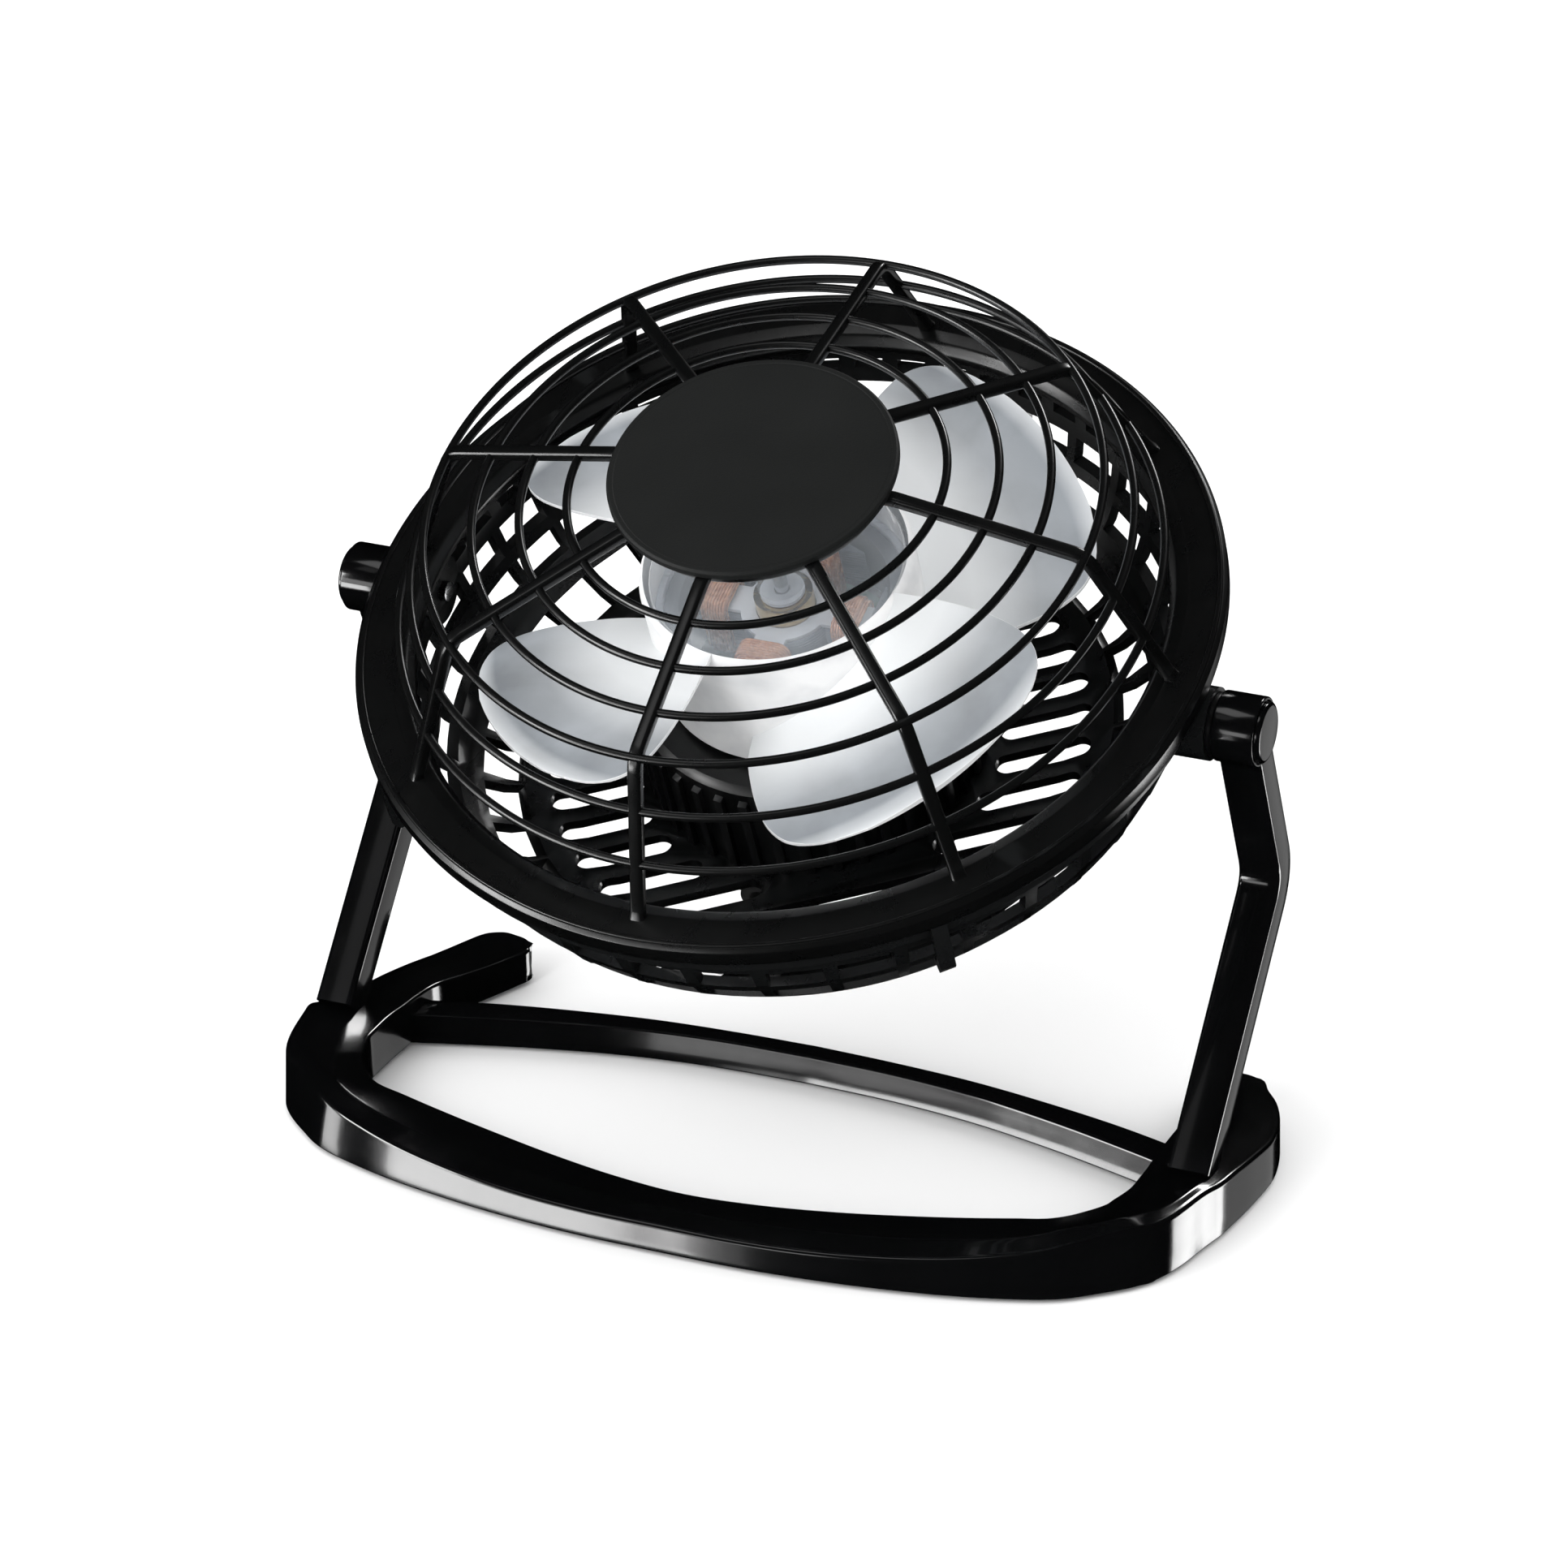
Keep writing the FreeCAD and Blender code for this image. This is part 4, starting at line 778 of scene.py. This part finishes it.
# ------------------------------------------------------------------ the arms
def arm_piece(name, sgn):
    lo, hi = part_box(name)
    xin = 63.3
    xm = xin + 3.0
    foot = Vector((xm, -15.6, 9.0))
    kink = Vector((xm, 13.2, 43.2))
    top = Vector((xm, 0.0, PIVOT.z / MM))
    path = []
    for k in range(12):
        path.append(foot.lerp(kink, k / 12 * 0.90))
    # the bend, a true arc sampled between the two runs
    a, b = foot.lerp(kink, 0.90), kink.lerp(top, 0.14)
    for k in range(13):
        f = k / 12
        path.append(a.lerp(kink, f).lerp(kink.lerp(b, f), f))
    for k in range(1, 13):
        path.append(b.lerp(top, k / 12))
    sec = fillet([(-3.0, -2.9), (3.0, -2.9), (3.0, 2.9), (-3.0, 2.9)],
                 [0.7, 0.7, 1.5, 0.8], 5)
    bag = Bag()
    v, f = sweep(path, sec, up=(0.0, -0.77, 0.64))
    bag.add(v, f)
    # boss on the tilt axis, with a stepped outer ring
    prof = fillet([(0.0, 63.3), (5.0, 63.3), (5.0, 69.5), (4.5, 69.5),
                   (4.5, 69.1), (3.6, 69.1), (3.6, 66.0), (0.0, 66.0)],
                  [0, 0.35, 0.55, 0.12, 0.1, 0.2, 0.1, 0], 4)
    v, f = lathe_data(prof, 72)
    m = Matrix.Translation(Vector((0, 0, PIVOT.z / MM))) @ Matrix.Rotation(
        math.radians(90), 4, "Y")
    bag.add(v, f, 0, m)
    if sgn < 0:
        bag.v = [(-x, y, z) for x, y, z in bag.v]
        bag.f = [list(reversed(q)) for q in bag.f]
    o = bag.object(name + "_moulding", STAND, ("stand",), "stand", 38.0)
    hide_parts(name)
    return o


arm_piece("arm_right", 1)
arm_piece("arm_left", -1)


def pivot_cap(sgn):
    prof = fillet([(0.0, 68.2), (3.4, 68.2), (3.4, 69.2), (4.35, 69.2),
                   (4.35, 70.0), (3.9, 70.3), (0.0, 70.4)],
                  [0, 0.2, 0.1, 0.2, 0.3, 0.8, 0], 5)
    v, f = lathe_data(prof, 72)
    m = Matrix.Translation(Vector((0, 0, PIVOT.z / MM))) @ Matrix.Rotation(
        math.radians(90 * sgn), 4, "Y")
    return v, f, m


bag = Bag()
for s in (1, -1):
    bag.add(*pivot_cap(s)[:2], 0, pivot_cap(s)[2])
caps = bag.object("pivot_caps_domed", STAND, ("stand",), "stand")
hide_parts("pivot_caps")


# ------------------------------------------------------------- front guard
def front_guard():
    bag = Bag()
    FR, FF, FI = 62.0, 8.7, 53.6
    prof = fillet([(FI, FF - 3.0), (FI, FF - 1.9), (FI + 1.0, FF - 0.5),
                   (FI + 3.0, FF), (FR - 0.6, FF), (FR, FF - 0.6),
                   (FR, FF - 3.0), (FR - 1.1, FF - 3.0), (FR - 1.1, FF - 1.5),
                   (FI + 3.4, FF - 1.5), (FI + 2.0, FF - 1.9),
                   (FI + 1.2, FF - 3.0)],
                  [0.3, 0.8, 1.0, 1.2, 0.35, 0.35, 0.3, 0.3, 0.3, 0.5, 0.5,
                   0.3], 4)
    v, f = lathe_data(prof, 288)
    bag.add(v, f)
    # thin raised bead round the outer edge and a step inside it
    v, f = lathe_data(fillet([(FR - 1.5, FF - 0.2), (FR - 0.55, FF - 0.2),
                              (FR - 0.75, FF + 0.22), (FR - 1.3, FF + 0.22)],
                             0.15, 3), 288)
    bag.add(v, f)
    # spokes: flat moulded bars with a rounded bend and a foot on the flange
    a = Vector((17.0, 0, 36.0))
    a2 = Vector((20.6, 0, 35.95))
    k = Vector((47.6, 0, 30.5))
    e = Vector((57.2, 0, 8.3))
    path = [a, a2]
    for i in range(1, 9):
        path.append(a2.lerp(k, 0.93 * i / 8))
    p0, p1 = a2.lerp(k, 0.93), k.lerp(e, 0.09)
    for i in range(1, 9):
        t = i / 8
        path.append(p0.lerp(k, t).lerp(k.lerp(p1, t), t))
    for i in range(1, 9):
        path.append(p1.lerp(e, i / 8))
    sec = round_rect(2.0, 1.7, 0.55, 4)
    v, f = sweep(path, sec, up=(0.3, 0, 1.0))
    foot = [e + (k - e).normalized() * 3.0, e + (k - e).normalized() * 1.2,
            e + (k - e).normalized() * 0.3, e - (k - e).normalized() * 0.4]
    v2, f2 = sweep(foot, sec, up=(0.3, 0, 1.0), scale=[0.9, 1.0, 1.12, 1.3])
    for s in range(8):
        bag.add(v, f, 0, rotz(45 * s))
        bag.add(v2, f2, 0, rotz(45 * s))
    # rings
    for r, z in ((26.5, 34.77), (33.5, 33.36), (40.5, 31.94), (47.6, 30.5),
                 (50.9, 23.3), (54.1, 16.0)):
        sec2 = [(r + 0.62 * math.cos(t), z + 0.62 * math.sin(t))
                for t in [2 * math.pi * q / 14 for q in range(14)]]
        v, f = lathe_data(sec2, 240)
        bag.add(v, f)
    # carrier under the badge disc
    v, f = lathe_data(fillet([(0, 35.1), (19.2, 35.1), (19.2, 36.7), (0, 36.7)],
                             [0, 0.4, 0.3, 0], 3), 120)
    bag.add(v, f)
    # snap tabs with a hooked end and a thin web each side
    t = fillet([(60.75, 6.4), (61.9, 6.4), (61.9, -3.0), (60.9, -4.6),
                (59.1, -4.0), (59.1, -3.1), (60.6, -2.5)],
               [0.2, 0.3, 0.7, 0.4, 0.2, 0.2, 0.3], 3)
    tv = [(x, -1.15, z) for x, z in t] + [(x, 1.15, z) for x, z in t]
    nt_ = len(t)
    tf = [[i, (i + 1) % nt_, nt_ + (i + 1) % nt_, nt_ + i] for i in range(nt_)]
    tf.append(list(range(nt_ - 1, -1, -1)))
    tf.append(list(range(nt_, 2 * nt_)))
    for s in range(4):
        bag.add(tv, tf, 0, rotz(-50 + 90 * s))
    o = bag.object("front_guard_moulding", HEAD, ("guard",), "head", 38.0)
    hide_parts("guard_rim", "guard_wall", "guard_dome")
    return o


front_guard()

prof = fillet([(0, 36.9), (20.1, 36.9), (20.4, 37.2), (20.4, 37.95),
               (20.05, 38.3), (19.5, 38.3), (19.35, 38.22), (0, 38.26)],
              [0, 0.15, 0.2, 0.25, 0.2, 0.1, 0.1, 0], 4)
v, f = lathe_data(prof, 192)
cap = build("front_cap_disc", v, f, HEAD, ("cap",), None, 35.0, "head")
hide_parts("front_cap")


# -------------------------------------------------------------------- impeller
def impeller():
    TIP, HUB, WALL = 44.9, 19.5, 1.2
    SEC = [(HUB - 0.7, -46.5, 33), (23.5, -44.5, 34.5), (29.0, -40.5, 35),
           (34.0, -37, 34.5), (38.5, -33.5, 33), (41.8, -29.5, 30),
           (43.8, -24, 25), (TIP, -14, 14)]

    def z_at(r, a):
        return 12.3 + (0.195 - 0.001 * (r - 20.0)) * a

    NR, NAq = 34, 44
    radii = [HUB - 0.7 + (TIP - HUB + 0.7) * (1 - (1 - i / NR) ** 1.6)
             for i in range(NR + 1)]
    # curve the outline with a spline through the sections
    c0 = catmull([(s[0], s[1], 0) for s in SEC], 16)
    c1 = catmull([(s[0], s[2], 0) for s in SEC], 16)

    def at(c, r):
        for p, q in zip(c, c[1:]):
            if r <= q.x + 1e-9:
                t = (r - p.x) / max(q.x - p.x, 1e-9)
                return p.y + (q.y - p.y) * t
        return c[-1].y

    top, low = [], []
    for r in radii:
        a0, a1 = at(c0, r), at(c1, r)
        tr, lr = [], []
        for j in range(NAq + 1):
            f = j / NAq
            a = a0 + (a1 - a0) * f
            wall = WALL * (0.50 + 0.50 * math.sin(math.pi * f))
            wall *= 1.0 + 0.6 * math.exp(-(r - HUB) / 2.0)
            if r > TIP - 2:
                wall *= 0.75
            x, y = r * math.cos(math.radians(a)), r * math.sin(math.radians(a))
            z = z_at(r, a)
            tr.append((x, y, z + wall / 2))
            lr.append((x, y, z - wall / 2))
        top.append(tr)
        low.append(lr)
    verts, faces, fm = [], [], []

    def vid(layer, i, j):
        return layer * (NR + 1) * (NAq + 1) + i * (NAq + 1) + j
    for layer in (top, low):
        for row in layer:
            verts += row
    for i in range(NR):
        for j in range(NAq):
            faces.append([vid(0, i, j), vid(0, i + 1, j), vid(0, i + 1, j + 1),
                          vid(0, i, j + 1)])
            fm.append(0)
            faces.append([vid(1, i, j), vid(1, i, j + 1), vid(1, i + 1, j + 1),
                          vid(1, i + 1, j)])
            fm.append(0)
        # leading, trailing and tip faces take the painted edge highlight material
        for j, s in ((0, 1), (NAq, -1)):
            q = [vid(0, i, j), vid(1, i, j), vid(1, i + 1, j), vid(0, i + 1, j)]
            faces.append(q if s > 0 else list(reversed(q)))
            fm.append(1)
    for j in range(NAq):
        q = [vid(0, NR, j), vid(1, NR, j), vid(1, NR, j + 1), vid(0, NR, j + 1)]
        faces.append(q)
        fm.append(1)
        q = [vid(0, 0, j), vid(0, 0, j + 1), vid(1, 0, j + 1), vid(1, 0, j)]
        faces.append(q)
        fm.append(0)
    bag = Bag()
    for k in range(4):
        off = len(bag.v)
        bag.v += move(verts, rotz(-40 + 90 * k))
        bag.f += [[i + off for i in q] for q in faces]
        bag.m += fm
    o = bag.object("blades_frosted", HEAD, ("blade", "blade_edge"), "rotor",
                   50.0)
    bev = o.modifiers.new("edge", "BEVEL")
    bev.width = 0.22 * MM
    bev.segments = 3
    bev.limit_method = "ANGLE"
    bev.angle_limit = math.radians(50)
    # the bevels take the painted edge highlight material as well
    bev.material = 1
    # hub: clear cup with a rounded shoulder and a raised centre ring
    prof = fillet([(18.2, -1.4), (19.5, -1.4), (19.5, 18.6), (16.8, 21.0),
                   (5.2, 21.0), (4.8, 20.6), (0, 20.6), (0, 20.2), (1.01, 20.2),
                   (1.01, 14.2), (3.4, 14.2), (3.4, 19.4), (16.4, 19.4),
                   (18.2, 17.8)],
                  [0.3, 0.3, 2.2, 2.2, 0.3, 0.3, 0, 0, 0, 0.2, 0.3, 0.5, 1.2,
                   0.8], 5)
    v, f = lathe_data(prof, 144)
    side = [1 if (min(math.hypot(v[i][0], v[i][1]) for i in q) > 17.6
                  and max(v[i][2] for i in q) < 20.2) else 0 for q in f]
    hub = build("hub_clear_cup", v, f, HEAD, ("clear", "band"), side, 35.0,
                "rotor")
    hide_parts("impeller")
    return o, hub


impeller()


# ----------------------------------------------------------------------- coils
def coils():
    bag = Bag()
    mid, hh = 6.0, 3.0
    for k in range(4):
        m = rotz(90 * k)
        for layer in range(3):
            turns = 9 if layer < 2 else 7
            grow = 0.23 + 0.42 * layer
            for t in range(turns):
                x = 8.05 + (t + 0.5 * (layer % 2)) * 0.435 + (0.2 if layer == 2 else 0)
                w, h = 2.55 + grow, hh + 0.95 + grow
                loop = []
                r = 0.8 + 0.4 * layer
                pts = fillet([(-w, -h), (w, -h), (w, h), (-w, h)], r, 4)
                loop = [Vector((x, py, mid + pz)) for py, pz in pts]
                v, f = sweep(loop, circle2(0.205, 7), up=(1, 0, 0),
                             closed_path=True)
                bag.add(v, f, 0, m)
    o = bag.object("coil_windings", HEAD, ("copper",), "head", 60.0)
    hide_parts("stator_coils")
    return o


coils()

# ------------------------------------------------- CAD nodes with softened edges
ASSIGN = {
    "basket_wall": "guard", "basket_back": "guard",
    "motor_housing": "inner", "rear_cover": "inner",
    "foot_pads": "rubber", "cable_gland": "rubber", "arm_screws": "steel",
    "pivot_screws": "steel", "cover_screws": "steel",
    "pivot_washers": "inner", "switch_body": "switch",
    "switch_slider": "switch", "bearing_tube": "brass",
    "bush_rear": "bronze", "bush_front": "bronze", "stator_core": "core",
    "stator_insulators": "nylon", "circuit_board": "board",
    "flux_ring": "flux", "magnet_ring": "magnet", "shaft": "shaft",
    "shaft_clip": "shaft", "thrust_washer": "nylon", "base_loop": "stand",
    "arm_right": "stand", "arm_left": "stand", "pivot_caps": "stand",
    "guard_rim": "guard", "guard_wall": "guard", "guard_dome": "guard",
    "front_cap": "cap", "stator_coils": "copper", "impeller": "clear",
}
for node, key in ASSIGN.items():
    o = frame["nodes"][node]
    if not o.material_slots:
        continue
    for sl in o.material_slots:
        sl.material = MAT[key]

SOFT = {  # node: (bevel in mm, body)
    "basket_wall": 0.28, "basket_back": 0.28, "motor_housing": 0.25, "rear_cover": 0.3,
    "foot_pads": 0.3, "cable_gland": 0.25, "arm_screws": 0.12,
    "pivot_screws": 0.12, "cover_screws": 0.12, "pivot_washers": 0.1,
    "switch_body": 0.15, "switch_slider": 0.1, "stator_insulators": 0.12,
    "flux_ring": 0.15, "magnet_ring": 0.2, "stator_core": 0.06,
    "circuit_board": 0.08,
}
SEAM = {"basket_wall": -13.3, "basket_back": -13.3}
NODE_BODY = {n: b for b, ns in frame["record"]["behaviour"]["bodies"].items()
             for n in ns}


def softened(node, width):
    src = frame["nodes"][node]
    bm = bmesh.new()
    bm.from_mesh(src.data)
    bmesh.ops.remove_doubles(bm, verts=bm.verts, dist=2e-6)
    bmesh.ops.dissolve_limit(bm, angle_limit=math.radians(0.6),
                             verts=bm.verts, edges=bm.edges)
    bmesh.ops.recalc_face_normals(bm, faces=bm.faces)
    edges = [e for e in bm.edges if len(e.link_faces) == 2
             and e.calc_face_angle(0.0) > math.radians(32)]
    if node in SEAM:
        # where the two halves of the basket meet the surface runs on
        inv = HEAD.inverted()
        edges = [e for e in edges if not all(
            abs((inv @ v.co).z - SEAM[node]) < 0.02 for v in e.verts)]
    bmesh.ops.bevel(bm, geom=edges, offset=width * MM, segments=2,
                    profile=0.5, affect="EDGES", clamp_overlap=True)
    for f in bm.faces:
        f.smooth = True
    for e in bm.edges:
        if len(e.link_faces) == 2:
            e.smooth = e.calc_face_angle(0.0) < math.radians(34)
    me = bpy.data.meshes.new(node + "_soft")
    bm.to_mesh(me)
    bm.free()
    o = bpy.data.objects.new(node + "_softened", me)
    bpy.context.collection.objects.link(o)
    me.materials.append(MAT[ASSIGN[node]])
    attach(o, NODE_BODY[node])
    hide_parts(node)
    return o


for node, width in SOFT.items():
    softened(node, width)


# ------------------------------------------------------------ floor and light
def floor():
    me = bpy.data.meshes.new("floor")
    s = 6.0
    me.from_pydata([(-s, -s, 0), (s, -s, 0), (s, s, 0), (-s, s, 0)], [],
                   [[0, 1, 2, 3]])
    o = bpy.data.objects.new("floor", me)
    bpy.context.collection.objects.link(o)
    m, nt, b = new_mat("floor_pale")
    n = noise(nt, 3.0, 2.0)
    col = ramp(nt, n.outputs["Fac"], [(0.3, (0.885, 0.885, 0.885)),
                                      (0.7, (0.90, 0.90, 0.90))])
    nt.links.new(col.outputs["Color"], b.inputs["Base Color"])
    b.inputs["Roughness"].default_value = 0.75
    b.inputs["Specular IOR Level"].default_value = 0.2
    me.materials.append(m)
    o.visible_glossy = False
    return o


floor()


def area(name, loc, target, sx, sy, radiance, color=(1, 1, 1)):
    l = bpy.data.lights.new(name, "AREA")
    l.shape = "RECTANGLE"
    l.size, l.size_y = sx, sy
    l.energy = radiance * math.pi * sx * sy
    l.color = color
    o = bpy.data.objects.new(name, l)
    bpy.context.collection.objects.link(o)
    o.location = loc
    d = Vector(target) - Vector(loc)
    o.rotation_euler = d.to_track_quat("-Z", "Y").to_euler()
    return o


def card(name, direction, distance, sx, sy, radiance, glossy_only=True):
    """A panel seen in reflections, standing in the given direction."""
    d = Vector(direction).normalized()
    o = area(name, d * distance, (0, 0, 0.03), sx, sy, radiance)
    if glossy_only:
        o.visible_diffuse = False
        o.visible_transmission = False
        o.visible_volume_scatter = False
    o.visible_camera = False
    return o


def from_angles(az, el):
    """Direction at az degrees round from the front to the right, el up."""
    a, e = math.radians(az), math.radians(el)
    return Vector((math.sin(a) * math.cos(e), -math.cos(a) * math.cos(e),
                   math.sin(e)))


def panel(name, az0, az1, el0, el1, radiance, distance=1.7):
    az, el = (az0 + az1) / 2, (el0 + el1) / 2
    w_ = 2 * distance * math.tan(math.radians(abs(az1 - az0) / 2))
    h_ = 2 * distance * math.tan(math.radians(abs(el1 - el0) / 2))
    return card(name, from_angles(az, el), distance,
                w_ * math.cos(math.radians(el)), h_, radiance)


# panels that only the gloss picks up, given by their bearing and height
panel("bow_panel", -20.5, -51.0, -15.0, -1.5, 11.5)
panel("bow_faint", -14.0, -20.5, -15.0, -1.5, 1.2)
panel("corner_panel", -64.0, -74.0, -16.0, -1.0, 6.0)
panel("bar_grey", -6.0, -38.0, 0.5, 12.0, 2.6)
panel("bar_white", -39.0, -60.0, 0.5, 24.0, 13.0)
panel("side_white", 122.0, 137.0, -31.0, -15.0, 8.0)
panel("side_grey", 138.0, 165.0, -31.0, -12.0, 0.42)
panel("patch_white", 162.0, 176.0, 31.0, 43.0, 18.0)
panel("overhead", -70.0, -20.0, 58.0, 74.0, 1.3)
panel("arm_sheen", -42.0, -24.0, 42.0, 54.0, 0.25)

# soft light that the gloss does not see
area("key_soft", (-1.3, -1.5, 2.3), (0, 0, 0.03), 2.2, 2.2, 0.8)
area("front_key", (-0.55, -1.35, 0.75), (0, 0, 0.07), 0.8, 0.8, 6.0)
for k in ("key_soft", "front_key"):
    bpy.context.scene.objects[k].visible_glossy = False

w = bpy.data.worlds.new("studio")
bpy.context.scene.world = w
w.use_nodes = True
bg = w.node_tree.nodes["Background"]
bg.inputs["Color"].default_value = (1.0, 1.0, 1.0, 1.0)
bg.inputs["Strength"].default_value = 1.45
w.cycles_visibility.glossy = False

# --------------------------------------------------------------------- camera
AZ, EL = math.radians(22.98), math.radians(25.2)
back = Vector((math.sin(AZ) * math.cos(EL), -math.cos(AZ) * math.cos(EL),
               math.sin(EL)))
aim = Vector((-2.09 * MM, PIVOT.y, 50.0 * MM))
cam_d = bpy.data.cameras.new("camera")
cam = bpy.data.objects.new("camera", cam_d)
bpy.context.collection.objects.link(cam)
cam.location = aim + back * 0.9657
cam.rotation_euler = (-back).to_track_quat("-Z", "Y").to_euler()
cam_d.sensor_width = 36.0
cam_d.lens = 36.0 * 8350.0 / 1932.0
cam_d.clip_start = 0.02
cam_d.clip_end = 50.0
bpy.context.scene.camera = cam
vs = bpy.context.scene.view_settings
vs.view_transform = "Standard"
vs.look = "None"
vs.exposure = 0.0

bpy.context.view_layer.update()
